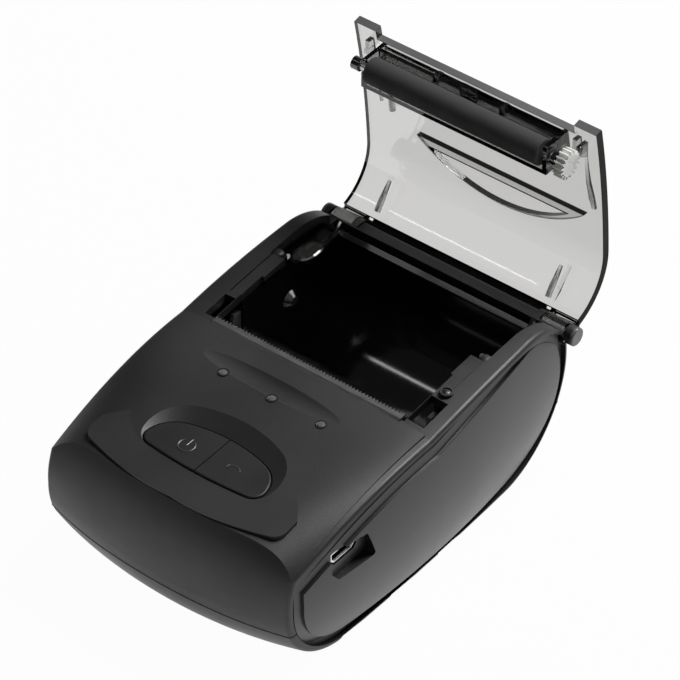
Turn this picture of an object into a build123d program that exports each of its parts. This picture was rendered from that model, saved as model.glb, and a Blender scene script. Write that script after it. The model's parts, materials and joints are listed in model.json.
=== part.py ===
from build123d import *
import math
import os

# A pocket printer for 58 mm thermal paper, with its clear paper cover standing open.
# Millimetres. X runs to the right, Y to the back and Z up. The casing rests on Z = 0,
# X = 0 is its centre plane and Y = 0 the rear edge of the control panel.

# Casing form, seen from the side on its centre plane
HALF_WIDTH = 38.4
SIDE_PLAN_RADIUS = 900.0
WALL = 2.4
PARTING_Z = 14.0
BASE_TRIM = 0.1
BASE_FRONT_Y = -40.0
BASE_REAR_Y = 30.5
NOSE_Y = -56.3
NOSE_Z = 16.3
BROW_Y = -50.9
BROW_Z = 36.9
PANEL_MID_Z = 39.8
PANEL_REAR_Z = 40.6
RAIL_MID_Z = 42.2
RAIL_TOP_Y = 38.0
RAIL_TOP_Z = 43.1
SHOULDER_Y = 49.5
SHOULDER_Z = 40.3
REAR_RADIUS = 27.0
REAR_END_DEG = 15.0
# How the outline changes from the centre plane to the rim of each side
FRONT_PLAN_RADIUS = 217.0
FRONT_CORNER_GAIN = 5e-7
RIM_POWER = 8
RIM_NOSE_RISE = 6.2
RIM_BASE_SHIFT = 7.0
RIM_BROW_SHIFT = 0.2
RIM_BROW_DROP = 8.3
RIM_MID_DROP = 2.5
RIM_PANEL_DROP = 0.9
RIM_RAIL_DROP = 0.5
FORM_SHARES = (0.0, 0.286, 0.521, 0.677, 0.781, 0.859, 0.924, 0.969, 1.0)

# Control panel
PANEL_EDGE = 2.2
PANEL_STEP = 0.7
RIM_ROUND = 1.2
APRON_HALF = 29.6
APRON_FRONT_Y = -50.4
APRON_CORNER_Y = -45.6
APRON_REAR_Y = -26.5
APRON_REAR_Z = 39.6
APRON_SIDE = 6.0
APRON_WAIST = 0.8
APRON_STEP = 0.45
APRON_TAPER = 1.3
LED_PITCH = 14.9
LED_Y = -12.3
LED_RADIUS = 1.15
TROUGH_Y = -9.6
TROUGH_RADIUS = 9.0
TROUGH_DEPTH = 0.45
TROUGH_BOW = 400.0
TROUGH_CENTRE_X = -3.0

# Buttons
BUTTON_HALF = 17.8
BUTTON_FRONT_Y = -41.4
BUTTON_REAR_Y = -27.6
BUTTON_WIDEST_Y = -36.6
BUTTON_SHOULDER_SHARE = 0.65
BUTTON_SHOULDER_DROP = 1.7
BUTTON_SIDE_SHARE = 0.9
BUTTON_SIDE_DROP = 3.0
BUTTON_CHEEK_SHARE = 0.966
BUTTON_CHEEK_RISE = 1.4
BUTTON_CORNER_SHARE = 0.81
BUTTON_CORNER_RISE = 0.8
BUTTON_GAP = 0.25
BUTTON_TOP_Z = 38.3
BUTTON_SKIRT_Z = 34.8
BUTTON_FLANGE = 0.9
BUTTON_TRAVEL = 0.5
BUTTON_CROWN = 0.3
BUTTON_EDGE = 0.5
FLANGE_THICK = 0.5
SWITCH_HALF = 3.0
SWITCH_HEIGHT = 1.6
SWITCH_FLOOR = 0.2
BUTTON_STEM_X = 8.6
BUTTON_STEM_Y = -34.8
BUTTON_STEM_RADIUS = 1.6
DISH_MARGIN = 6.3
DISH_SHIFT = 0.6
DISH_RISE = 2.6

# Paper bay and its cradle
BAY_HALF = 29.3
BAY_STEP_Y = 28.0
BOWL_HALF = 33.0
ROLL_Y = 30.8
ROLL_Z = 27.4
CRADLE_RADIUS = 20.8
CRADLE_WALL = 1.2
CRADLE_FOOT_X = 20.0
CRADLE_FOOT_FRONT_Y = 22.0
CHEEK_TOP_Z = 39.0
BOWL_Z = 33.4
BOWL_FRONT_Y = 30.5
GUIDE_FRONT_Y = 4.4
GUIDE_Z = 25.2
REAR_WALL_Z = 36.0
NOTCH_FRONT_Y = 2.0
NOTCH_REAR_Y = 11.4
NOTCH_LEFT_REAR_Y = 10.0
NOTCH_LEFT_X = 32.5
CRADLE_REAR_Z = 35.0
RIDGE_WIDTH = 1.0
GUIDE_RISE = 1.4
DIP_Y = 42.2
DIP_Z = 47.0
DIP_RADIUS = 13.0
BOWL_WALL_Z = 37.0
FLOOR_GAP = 0.2
ROLL_PLUG = 1.4
ROLL_PLUG_RADIUS = 2.6
NOTCH_RIGHT_X = 34.4

# Side panels
PANEL_RIM = 1.3
PANEL_GAP = 0.35
POCKET_DEPTH = 1.2
SIDE_CROWN_RISE = 3.6
SIDE_CROWN_Z = 21.0
SIDE_CROWN_PLAN = 300.0
SIDE_CROWN_SECTION = 60.0
RING_WIDTH = 2.3
RING_STEP = 0.8

# Data port
PORT_Y = -32.0
PORT_Z = 27.4
PORT_LENGTH = 12.4
PORT_HEIGHT = 7.4
PORT_LEAN = 1.4
PORT_DEPTH = 2.2
PORT_ROUND = 0.8
SOCKET_Y = -33.2
SOCKET_LENGTH = 8.8
SOCKET_HEIGHT = 3.2
SOCKET_DEPTH = 7.4
SOCKET_SKIN = 0.35
SOCKET_END_GAP = 0.6

# Hinge and cover
HINGE_Y = 57.4
HINGE_Z = 33.5
PIN_RADIUS = 1.0
BARREL_RADIUS = 2.5
BARREL_IN = 29.5
BARREL_GAP = 0.5
LUG_GAP = 0.4
LUG_WIDTH = 1.8
HINGE_BAR_RADIUS = 1.9
HINGE_EDGE = 1.9
HINGE_CUT = 6.0
BARREL_CLEAR = 0.8
PIN_HEAD = 0.9
WEB_DROP = 0.6
WEB_RISE = 0.8
RIB_FOOT = 1.2
HOOK_DEPTH = 3.6
HOOK_LENGTH = 4.0
HOOK_REACH = 2.4
FIT = 0.03
CLOSING_DEG = 90.5
COVER_THICK = 2.2
COVER_TIP_BEHIND = 8.8
COVER_TIP_RISE = 6.3
COVER_WAIST_Y = 72.0
COVER_WAIST_Z = 61.5
COVER_BELLY_Y = 73.0
COVER_BELLY_Z = 49.5
COVER_FOOT_Y = 62.0
COVER_FOOT_Z = 33.0
EAR_IN = 29.8
EAR_STEP = 3.2
RIB_X = 27.0
RIB_THICK = 1.2
RIB_TIP_Z = 44.0
GRIP_X = 4.4
GRIP_TOP_Z = 58.4
GRIP_HALF = 25.4
GRIP_DROP = 9.6
GRIP_PROUD = 1.6
GRIP_WALL = 1.2
GRIP_CORNER = 4.0
FOOT_CLEAR = 0.35
FOOT_WRAP_DEG = 48.0

# Platen roller on the cover
PLATEN_Y = 7.19
PLATEN_Z = 34.36
ROLLER_RADIUS = 3.5
ROLLER_HALF = 26.0
SHAFT_RADIUS = 1.1
BUSH_RADIUS = 1.7
BUSH_IN = 28.9
BUSH_OUT = 31.1
PLATEN_GEAR_IN = 31.3
PLATEN_GEAR_OUT = 33.9
HOLDER_GAP = 0.4
HOLDER_WALL = 1.2
HOLDER_HALF = 27.9
HOLDER_RIB_X = 10.0
HOLDER_LIP = 1.4
SHELF_DROP = 2.4
SNAP_SHARE = 0.8
HOLDER_TAB = 2.5
CLIP_THICK = 0.5

# Gear train
MODULE = 0.4
PLATEN_TEETH = 17
DRIVE_TEETH = 24
REDUCTION_TEETH = 32
REDUCTION_PINION_TEETH = 12
MOTOR_TEETH = 10
BACKLASH = 0.1
ROOT_SHARE = 1.25
FIRST_PHASE = 0.0
GEAR_CLEAR = 0.2
AXLE_RADIUS = 0.75
TOOTH_TOP_SHARE = 0.22
TOOTH_ROOT_SHARE = 0.62
DRIVE_DY = 1.0
OUTER_PLANE_IN = 34.2
OUTER_PLANE_OUT = 35.4
INNER_PLANE_IN = 31.9
INNER_PLANE_OUT = 34.0

# Print mechanism
MOTOR_AHEAD = 4.2
MOTOR_Z = 12.0
MOTOR_RADIUS = 7.5
MOTOR_LENGTH = 20.0
MOTOR_ROUND = 0.6
MOTOR_BORE = 4.0
MOTOR_SHAFT_RADIUS = 0.75
MOTOR_LEADS = 4
MOTOR_LEAD_PITCH = 1.4
MOTOR_LEAD_RADIUS = 0.5
CROSS_LOW_Z = 22.0
FRAME_IN = 29.6
FRAME_WALL = 1.2
FRAME_AHEAD = 12.4
FRAME_BEHIND = 5.0
FRAME_FOOT = 5.6
FRAME_SCREW_Y = 10.0
FRAME_TOP_Z = 36.0
HEAD_HALF = 27.5
HEAD_THICK = 1.6
HEAD_BOTTOM_Z = 28.0
HEAD_TOP_Z = 37.8
PAPER_GAP = 0.3
HEATSINK_THICK = 1.8
GLAZE = 0.3
SINK_TAIL = 1.6
SINK_PIVOT_RADIUS = 0.8
CABLE_THICK = 0.3
CABLE_REACH = 1.2
CABLE_HALF = 9.0
SENSOR_HALF = 1.5
SPRING_X = 15.0
SPRING_Z = 33.6
SPRING_RADIUS = 2.0
SPRING_WIRE = 0.3
SPRING_TURNS = 4

# Latch strips
LATCH_OUT = 32.5
LATCH_FRONT_Y = 11.6
LATCH_LIP_Y = 20.0
LATCH_LIP = 0.7
LATCH_SEAT_Z = 40.6

# Tear bar
TEAR_HALF = 29.0
TEAR_FRONT_Y = -0.4
TEAR_REAR_Y = 2.4
TEAR_THICK = 0.8
TEAR_SEAT_Y = 1.0
TEAR_SINK = 0.6
TOOTH_PITCH = 1.0
TOOTH_DEPTH = 0.9

# Electronics and power
BOARD_EDGE = 8.4
BOARD_FRONT_Y = -40.0
BOARD_REAR_GAP = 1.8
BOARD_Z = 31.0
BOARD_THICK = 1.4
BOARD_TAB = 3.4
BOARD_CORNER = 5.0
RADIO_X = -27.0
RADIO_Y = -26.0
RADIO_LENGTH = 15.0
RADIO_WIDTH = 10.0
RADIO_HEIGHT = 2.2
BUZZER_X = -17.0
BUZZER_Y = -14.0
BUZZER_RADIUS = 4.5
BUZZER_HEIGHT = 4.0
LED_HEIGHT = 0.8
PIPE_LOW_Z = 35.0
PIPE_TOP_Z = 40.9
PIPE_FLANGE = 0.6
PIPE_GAP = 0.05
BATTERY_HALF = 27.0
BATTERY_FRONT_Y = -33.0
BATTERY_REAR_Y = -9.6
BATTERY_HEIGHT = 16.4
DOOR_HALF = 28.0
DOOR_FRONT_Y = -34.0
DOOR_REAR_Y = -8.0
DOOR_THICK = 1.8
DOOR_GAP = 0.25
DOOR_GRIP_COUNT = 4
DOOR_GRIP_PITCH = 1.6
DOOR_GRIP_HALF = 7.0
DOOR_GRIP_RADIUS = 0.4
BATTERY_Z = DOOR_GAP + DOOR_THICK
BATTERY_ROUND = 3.0
CONTACT_HALF = 8.5
CONTACT_Y = -7.7
CONTACT_DEPTH = 2.0
CONTACT_HEIGHT = 11.0
CONTACT_PITCH = 5.0
BLADE = 0.4
BLADE_SPREAD = 2.0
BLADE_HALF = 1.2

# Fastening
POST_EDGE = 5.1
POST_FRONT_Y = -12.5
POST_REAR_Y = 21.5
POST_RADIUS = 2.6
SCREW_RADIUS = 1.0
SCREW_HEAD_RADIUS = 1.9
SCREW_HEAD = 1.3
SCREW_SINK = 0.4
SCREW_REACH = 8.0
BOSS_RADIUS = 2.0
BOARD_BOSS_PLACES = ((24.5, -11.5), (24.0, -32.0))
BOARD_SCREW_REACH = 3.0

# Derived places
INNER_HALF = HALF_WIDTH - WALL
BOARD_HALF = HALF_WIDTH - BOARD_EDGE
HINGE_SPACE = HALF_WIDTH - HINGE_EDGE
BARREL_OUT = HINGE_SPACE - BARREL_GAP
COVER_HALF = HINGE_SPACE - PIPE_GAP * 4
FORM_STATIONS = [HALF_WIDTH * part for part in FORM_SHARES]
POST_X = HALF_WIDTH - POST_EDGE
SOCKET_END_X = HALF_WIDTH - SOCKET_END_GAP
PANEL_HALF = HALF_WIDTH - PANEL_EDGE
SIDE_CROWN_X = HALF_WIDTH + SIDE_CROWN_RISE
REAR_INNER_Y = BASE_REAR_Y + (REAR_RADIUS - WALL) * math.cos(math.radians(REAR_END_DEG))
TEAR_Z = PANEL_REAR_Z + PANEL_STEP - TEAR_SINK
SCREW_SEAT_Z = SCREW_HEAD + SCREW_SINK
FLOOR_BITE_Z = 0.6
SOLID_REACH = 200.0
OPENING = math.radians(CLOSING_DEG)
ROLLER_Y = (HINGE_Y + (PLATEN_Y - HINGE_Y) * math.cos(OPENING)
            + (PLATEN_Z - HINGE_Z) * math.sin(OPENING))
ROLLER_Z = (HINGE_Z - (PLATEN_Y - HINGE_Y) * math.sin(OPENING)
            + (PLATEN_Z - HINGE_Z) * math.cos(OPENING))
COVER_TIP_Y = ROLLER_Y + COVER_TIP_BEHIND
COVER_TIP_Z = ROLLER_Z + COVER_TIP_RISE
FRAME_FRONT_Y = PLATEN_Y - FRAME_AHEAD
FRAME_REAR_Y = PLATEN_Y + FRAME_BEHIND
MOTOR_Y = PLATEN_Y - MOTOR_AHEAD
BOARD_REAR_Y = FRAME_FRONT_Y - BOARD_REAR_GAP


def block(x0, x1, y0, y1, z0, z1):
    """A box between two corners."""
    box = Box(abs(x1 - x0), abs(y1 - y0), abs(z1 - z0))
    return Pos((x0 + x1) / 2, (y0 + y1) / 2, (z0 + z1) / 2) * box


def rod_x(x0, x1, y, z, radius):
    """A round bar along X."""
    return Pos((x0 + x1) / 2, y, z) * Rot(0, 90, 0) * Cylinder(radius, abs(x1 - x0))


def rod_z(z0, z1, x, y, radius):
    """A round bar along Z."""
    return Pos(x, y, (z0 + z1) / 2) * Cylinder(radius, abs(z1 - z0))


def slab(edges, x0, x1):
    """A flat outline in the side view, drawn at X = 0, given its width from x0 to x1."""
    return Pos(x0, 0, 0) * extrude(Face(Wire(edges)), amount=x1 - x0, dir=(1, 0, 0))


def outline_yz(points, x0, x1):
    """A straight-sided outline in the side view, given its width from x0 to x1."""
    return slab(Polyline([(0, y, z) for y, z in points], close=True).edges(), x0, x1)


def both_sides(solid):
    """A solid and its mirror image across the centre plane."""
    return solid + mirror(solid, about=Plane.YZ)


def write(name, solid):
    export_step(solid, os.path.join("parts", name + ".step"))


def side_edges(x, inset, lift=0.0):
    """The casing's outline at one distance from the centre plane, set in by the inset.

    The lift raises the rear part and fades out towards the brow.
    """
    share = (abs(x) / HALF_WIDTH) ** RIM_POWER
    early = (abs(x) / HALF_WIDTH) ** 2
    nose_y = NOSE_Y + x * x / (2 * FRONT_PLAN_RADIUS) + FRONT_CORNER_GAIN * x ** 4 + inset
    nose_z = NOSE_Z + RIM_NOSE_RISE * early
    base_y = BASE_FRONT_Y + RIM_BASE_SHIFT * early
    brow_y = nose_y + (BROW_Y - NOSE_Y) * (1 - share) + RIM_BROW_SHIFT + share * inset
    brow_z = BROW_Z - RIM_BROW_DROP * share - inset
    mid_y = brow_y / 2
    mid_z = PANEL_MID_Z - RIM_MID_DROP * share - inset + lift / 3
    panel_z = PANEL_REAR_Z - RIM_PANEL_DROP * share - inset + lift
    rail_mid = RAIL_MID_Z - RIM_RAIL_DROP * share - inset + lift
    rail_z = RAIL_TOP_Z - RIM_RAIL_DROP * share - inset + lift
    half_turn = math.sqrt(0.5)
    low_y = base_y - (base_y - nose_y) * half_turn
    low_z = nose_z - (nose_z - inset) * half_turn
    face_y = nose_y + (brow_y - nose_y) * (1 - half_turn) * half_turn
    face_z = nose_z + (brow_z - nose_z) * half_turn * half_turn
    rear_radius = REAR_RADIUS - inset
    rear_end = math.radians(REAR_END_DEG)
    rear_y = BASE_REAR_Y + rear_radius * math.cos(rear_end)
    rear_z = REAR_RADIUS + rear_radius * math.sin(rear_end)
    rear_low = (rear_end - math.pi / 2) / 2
    rear_low_y = BASE_REAR_Y + rear_radius * math.cos(rear_low)
    rear_low_z = REAR_RADIUS + rear_radius * math.sin(rear_low)
    corner = inset * half_turn
    base_z = inset - BASE_TRIM
    return [
        Line((x, BASE_REAR_Y, base_z), (x, base_y, base_z)),
        ThreePointArc((x, base_y, base_z), (x, low_y, low_z), (x, nose_y, nose_z)),
        ThreePointArc((x, nose_y, nose_z), (x, face_y, face_z), (x, brow_y, brow_z)),
        ThreePointArc((x, brow_y, brow_z), (x, mid_y, mid_z), (x, 0, panel_z)),
        ThreePointArc((x, 0, panel_z), (x, RAIL_TOP_Y / 2, rail_mid), (x, RAIL_TOP_Y, rail_z)),
        ThreePointArc((x, RAIL_TOP_Y, rail_z), (x, SHOULDER_Y - corner, SHOULDER_Z - corner),
                      (x, rear_y, rear_z)),
        ThreePointArc((x, rear_y, rear_z), (x, rear_low_y, rear_low_z), (x, BASE_REAR_Y, base_z)),
    ]


def side_barrel(inset):
    """The space between the two gently bowed side faces."""
    radius = SIDE_PLAN_RADIUS
    offset = radius - HALF_WIDTH + inset
    reach = rod_z(-SOLID_REACH, SOLID_REACH, -offset, 0, radius)
    return reach & rod_z(-SOLID_REACH, SOLID_REACH, offset, 0, radius)


def casing_form(inset, lift=0.0):
    """The rounded body of the casing, set in by the inset."""
    places = [-x for x in reversed(FORM_STATIONS[1:])] + FORM_STATIONS
    form = loft([Face(Wire(side_edges(x, inset, lift))) for x in places])
    far = SOLID_REACH
    return form & side_barrel(inset) & block(-far, far, -far, far, inset, far)


def rim_face(inset):
    """The rim outline as a flat face at X = 0, set in evenly by the inset."""
    face = Pos(-HALF_WIDTH, 0, 0) * Face(Wire(side_edges(HALF_WIDTH, 0)))
    return offset(face, amount=-inset).faces()[0]


def leaf(x0, x1, inset):
    """A plate of the rim's leaf shape from x0 to x1."""
    return Pos(x0, 0, 0) * extrude(rim_face(inset), amount=x1 - x0, dir=(1, 0, 0))


def from_above(edges, z0, z1):
    """An outline drawn at Z = 0 and seen from above, given its height from z0 to z1."""
    return Pos(0, 0, z0) * extrude(Face(Wire(edges)), amount=z1 - z0, dir=(0, 0, 1))


def mirrored_edges(edges):
    """Edges of the right half and their mirror images, as one closed outline."""
    return edges + [mirror(edge, about=Plane.YZ).edge() for edge in edges]


def apron():
    """The raised tongue round the buttons, with rounded front corners."""
    half = APRON_HALF
    front_y = APRON_FRONT_Y
    corner_y = APRON_CORNER_Y
    rear_y = APRON_REAR_Y
    side_y = corner_y + APRON_SIDE
    right = [
        ThreePointArc((0, rear_y, 0), (APRON_WAIST * half, (rear_y + side_y) / 2, 0), (half, side_y, 0)),
        ThreePointArc((half, side_y, 0), (half, corner_y + APRON_TAPER, 0),
                      (half - APRON_TAPER / 2, corner_y, 0)),
        ThreePointArc((half - APRON_TAPER / 2, corner_y, 0),
                      (half - APRON_TAPER, corner_y - APRON_TAPER / 2, 0),
                      (half - 2 * APRON_TAPER, corner_y - APRON_TAPER, 0)),
        ThreePointArc((half - 2 * APRON_TAPER, corner_y - APRON_TAPER, 0),
                      (half / 2, front_y + APRON_TAPER / 2, 0), (0, front_y, 0)),
    ]
    plan = from_above(mirrored_edges(right), BOARD_Z, RAIL_TOP_Z)
    fall_z = BROW_Z + APRON_STEP
    side = outline_yz([(rear_y, BOARD_Z), (rear_y, APRON_REAR_Z), (BROW_Y, fall_z),
                       (NOSE_Y, fall_z - APRON_STEP), (NOSE_Y, BOARD_Z)], -half, half)
    return plan & side


def panel_skin():
    """The control panel's surface, which stands a step above the rails and fades forwards."""
    plan = block(-PANEL_HALF, PANEL_HALF, BROW_Y, 0, BOARD_Z, RAIL_TOP_Z)
    return casing_form(0.0, PANEL_STEP) & plan


def casing_skin():
    """The whole casing wall before it is parted into its two shells."""
    form = casing_form(0.0)
    rim = [edge for edge in form.edges() if abs(edge.center().X) > INNER_HALF / 2]
    outside = fillet(rim, RIM_ROUND) + panel_skin() + apron()
    return outside - casing_form(WALL)


def side_pockets():
    """The shallow leaf-shaped pockets that the side panels lie in."""
    plate = leaf(INNER_HALF - WALL, SIDE_CROWN_X, PANEL_RIM)
    return both_sides(plate - side_barrel(POCKET_DEPTH))


def button_outline(grow):
    """The egg-shaped outline that the two buttons share, drawn at Z = 0."""
    half = BUTTON_HALF
    shoulder_x = BUTTON_SHOULDER_SHARE * half
    shoulder_y = BUTTON_REAR_Y - BUTTON_SHOULDER_DROP
    corner_x = BUTTON_CORNER_SHARE * half
    corner_y = BUTTON_FRONT_Y + BUTTON_CORNER_RISE
    right = [
        ThreePointArc((0, BUTTON_REAR_Y, 0),
                      (shoulder_x / 2, BUTTON_REAR_Y - BUTTON_SHOULDER_DROP / 4, 0),
                      (shoulder_x, shoulder_y, 0)),
        ThreePointArc((shoulder_x, shoulder_y, 0),
                      (BUTTON_SIDE_SHARE * half, shoulder_y - BUTTON_SIDE_DROP, 0),
                      (half, BUTTON_WIDEST_Y, 0)),
        ThreePointArc((half, BUTTON_WIDEST_Y, 0),
                      (BUTTON_CHEEK_SHARE * half, corner_y + BUTTON_CHEEK_RISE, 0),
                      (corner_x, corner_y, 0)),
        ThreePointArc((corner_x, corner_y, 0), (corner_x / 2, BUTTON_FRONT_Y + BUTTON_CORNER_RISE / 4, 0),
                      (0, BUTTON_FRONT_Y, 0)),
    ]
    face = Face(Wire(mirrored_edges(right)))
    if grow:
        face = offset(face, amount=grow).faces()[0]
    return face


def button_dish():
    """The sloping dish round the buttons, level at the front and deepest at the back."""
    low = Pos(0, 0, BUTTON_TOP_Z) * button_outline(BUTTON_GAP)
    high = Pos(0, DISH_SHIFT, BUTTON_TOP_Z + DISH_RISE) * button_outline(DISH_MARGIN)
    return loft([low, high])


def led_trough():
    """A shallow groove along the row of lights that fades out at both ends."""
    bottom = PANEL_REAR_Z + PANEL_STEP / 2 - TROUGH_DEPTH
    ring = Torus(TROUGH_BOW, TROUGH_RADIUS)
    place = Pos(TROUGH_CENTRE_X, TROUGH_Y, bottom + TROUGH_BOW + TROUGH_RADIUS)
    return place * Rot(90, 0, 0) * ring


def led_places():
    return [(x, LED_Y) for x in (-LED_PITCH, 0.0, LED_PITCH)]


def post_places():
    return [(x, y) for x in (-POST_X, POST_X) for y in (POST_FRONT_Y, POST_REAR_Y)]


def mechanism_screw_places():
    x = FRAME_IN - FRAME_FOOT / 2
    return [(-x, FRAME_SCREW_Y), (x, FRAME_SCREW_Y)]


def board_screw_places():
    return [(side * x, y) for side in (-1, 1) for x, y in BOARD_BOSS_PLACES]


def bay_opening():
    """The space that the shell leaves open over the paper bay and the hinge."""
    bay = block(-BAY_HALF, BAY_HALF, TEAR_SEAT_Y, BAY_STEP_Y, BOWL_Z, RAIL_TOP_Z + WALL)
    bowls = block(-BOWL_HALF, BOWL_HALF, BAY_STEP_Y, REAR_INNER_Y, BOWL_Z, RAIL_TOP_Z + WALL)
    rear = block(-HINGE_SPACE, HINGE_SPACE, HINGE_Y - HINGE_CUT, HINGE_Y + HINGE_CUT,
                 REAR_WALL_Z, RAIL_TOP_Z + WALL)
    left = block(-NOTCH_LEFT_X, -FRAME_IN + GEAR_CLEAR, NOTCH_FRONT_Y, NOTCH_LEFT_REAR_Y,
                 BOWL_Z, RAIL_TOP_Z)
    right = block(FRAME_IN - GEAR_CLEAR, NOTCH_RIGHT_X, NOTCH_FRONT_Y, NOTCH_REAR_Y,
                  BOWL_Z, RAIL_TOP_Z)
    barrel = rod_x(HINGE_SPACE, BARREL_IN - LUG_GAP, HINGE_Y, HINGE_Z, BARREL_RADIUS + BARREL_CLEAR)
    return bay + bowls + rear + left + right + both_sides(barrel)


def hinge_lugs():
    """The lugs that carry the hinge pins, two beside each barrel, and the bar between them."""
    inner_x = BARREL_IN - LUG_GAP
    inner = rod_x(inner_x - LUG_WIDTH, inner_x, HINGE_Y, HINGE_Z, BARREL_RADIUS)
    inner += block(inner_x - LUG_WIDTH, inner_x, REAR_INNER_Y, HINGE_Y,
                   HINGE_Z - BARREL_RADIUS, HINGE_Z + BARREL_RADIUS)
    inner += rod_x(0, inner_x - LUG_WIDTH, HINGE_Y, HINGE_Z, HINGE_BAR_RADIUS)
    inner += block(0, inner_x - LUG_WIDTH, REAR_INNER_Y, HINGE_Y,
                   HINGE_Z - HINGE_BAR_RADIUS, HINGE_Z + HINGE_BAR_RADIUS)
    outer = rod_x(HINGE_SPACE, HINGE_SPACE + LUG_WIDTH, HINGE_Y, HINGE_Z, BARREL_RADIUS)
    outer += block(HINGE_SPACE, HINGE_SPACE + LUG_WIDTH, HINGE_Y - HINGE_CUT, HINGE_Y,
                   HINGE_Z - BARREL_RADIUS, HINGE_Z + BARREL_RADIUS) & side_barrel(0.0)
    return both_sides(inner + outer)


def port_floor():
    """How far out the floor of the port's recess lies."""
    return SIDE_CROWN_X - PORT_Y ** 2 / (2 * SIDE_CROWN_PLAN) - PORT_DEPTH


def port_outline(depth_from, depth_to, grow):
    """The leaning recess round the data socket."""
    half_y = PORT_LENGTH / 2 + grow
    half_z = PORT_HEIGHT / 2 + grow
    points = [
        (PORT_Y - half_y - PORT_LEAN / 2, PORT_Z - half_z / 4),
        (PORT_Y - half_y, PORT_Z + half_z),
        (PORT_Y + half_y - PORT_LEAN / 2, PORT_Z + half_z),
        (PORT_Y + half_y + PORT_LEAN, PORT_Z - half_z),
        (PORT_Y - half_y + PORT_LEAN, PORT_Z - half_z),
    ]
    solid = outline_yz(points, depth_from, depth_to)
    return fillet(solid.edges().filter_by(Axis.X), PORT_ROUND)


def socket_body(grow, x0, x1):
    """The outline of the data socket's metal shell, grown for the opening round it."""
    half_y = SOCKET_LENGTH / 2 + grow
    low = BOARD_Z - SOCKET_HEIGHT - grow
    high = BOARD_Z + grow
    slope = SOCKET_HEIGHT / 3
    points = [(SOCKET_Y - half_y, high), (SOCKET_Y + half_y, high), (SOCKET_Y + half_y, low + slope),
              (SOCKET_Y + half_y - slope, low), (SOCKET_Y - half_y + slope, low),
              (SOCKET_Y - half_y, low + slope)]
    return outline_yz(points, x0, x1)


def top_shell(skin):
    shell = skin & block(-SOLID_REACH, SOLID_REACH, -SOLID_REACH, SOLID_REACH, PARTING_Z, SOLID_REACH)
    fill = casing_form(WALL / 2)
    for x, y in post_places():
        shell += rod_z(PARTING_Z, RAIL_TOP_Z, x, y, POST_RADIUS) & fill
    for x, y in post_places():
        shell -= rod_z(PARTING_Z, PARTING_Z + SCREW_REACH, x, y, SCREW_RADIUS)
    board_top = BOARD_Z + BOARD_THICK
    for x, y in board_screw_places():
        shell += rod_z(board_top, RAIL_TOP_Z, x, y, BOSS_RADIUS) & fill
    for x, y in board_screw_places():
        shell -= rod_z(board_top, board_top + BOARD_SCREW_REACH, x, y, SCREW_RADIUS)
    shell -= bay_opening()
    shell += hinge_lugs()
    shell -= both_sides(rod_x(BARREL_IN - LUG_GAP - LUG_WIDTH, HALF_WIDTH + WALL, HINGE_Y, HINGE_Z,
                              PIN_RADIUS))
    shell -= block(-TEAR_HALF, TEAR_HALF, TEAR_FRONT_Y, TEAR_SEAT_Y, TEAR_Z, RAIL_TOP_Z + WALL)
    shell -= button_dish()
    shell -= Pos(0, 0, PARTING_Z) * extrude(button_outline(BUTTON_GAP), amount=SOLID_REACH, dir=(0, 0, 1))
    shell -= led_trough()
    for x, y in led_places():
        shell -= rod_z(BOARD_Z, RAIL_TOP_Z, x, y, LED_RADIUS)
    shell -= side_pockets()
    shell -= socket_body(PANEL_GAP, INNER_HALF - WALL, SIDE_CROWN_X)
    shell -= both_sides(latch_seat())
    return shell


def bottom_shell(skin):
    shell = skin & block(-SOLID_REACH, SOLID_REACH, -SOLID_REACH, SOLID_REACH, -WALL, PARTING_Z)
    shell -= block(-DOOR_HALF, DOOR_HALF, DOOR_FRONT_Y, DOOR_REAR_Y, -WALL, WALL * 2)
    for x, y in post_places():
        shell += rod_z(WALL / 2, PARTING_Z, x, y, POST_RADIUS) & casing_form(WALL / 2)
    for x, y in post_places():
        shell -= rod_z(-WALL, PARTING_Z, x, y, SCREW_RADIUS)
        shell -= rod_z(-WALL, SCREW_SEAT_Z, x, y, SCREW_HEAD_RADIUS + BUTTON_GAP)
    for x, y in mechanism_screw_places():
        shell -= rod_z(FLOOR_BITE_Z, WALL * 2, x, y, SCREW_RADIUS)
    return shell - side_pockets()


def side_panel():
    """The bowed leaf-shaped panel on the right, with its sloped ring and raised middle."""
    ring_torus = Pos(SIDE_CROWN_X - RING_STEP - SIDE_CROWN_PLAN, 0, SIDE_CROWN_Z) * Torus(
        SIDE_CROWN_PLAN - SIDE_CROWN_SECTION, SIDE_CROWN_SECTION)
    lens_torus = Pos(SIDE_CROWN_X - SIDE_CROWN_PLAN, 0, SIDE_CROWN_Z) * Torus(
        SIDE_CROWN_PLAN - SIDE_CROWN_SECTION, SIDE_CROWN_SECTION)
    start = INNER_HALF - WALL
    ring = leaf(start, SIDE_CROWN_X, PANEL_RIM + PANEL_GAP) & ring_torus
    lens = leaf(start, SIDE_CROWN_X + WALL, PANEL_RIM + PANEL_GAP + RING_WIDTH) & lens_torus
    return ring + lens - side_barrel(POCKET_DEPTH)


def latch_seat():
    """The recess in the right rail that a latch strip lies in."""
    return block(BAY_HALF - WALL, LATCH_OUT, LATCH_FRONT_Y, BAY_STEP_Y, LATCH_SEAT_Z, SOLID_REACH)


def latch_strip():
    """The strip along the right edge of the bay that the cover's side clicks against."""
    strip = block(BAY_HALF, LATCH_OUT - GEAR_CLEAR, LATCH_FRONT_Y + GEAR_CLEAR, BAY_STEP_Y,
                  LATCH_SEAT_Z, SOLID_REACH)
    strip += block(BAY_HALF - LATCH_LIP, LATCH_OUT - 2 * GEAR_CLEAR, LATCH_LIP_Y, BAY_STEP_Y,
                   LATCH_SEAT_Z, SOLID_REACH)
    return strip & casing_form(GEAR_CLEAR)


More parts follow.
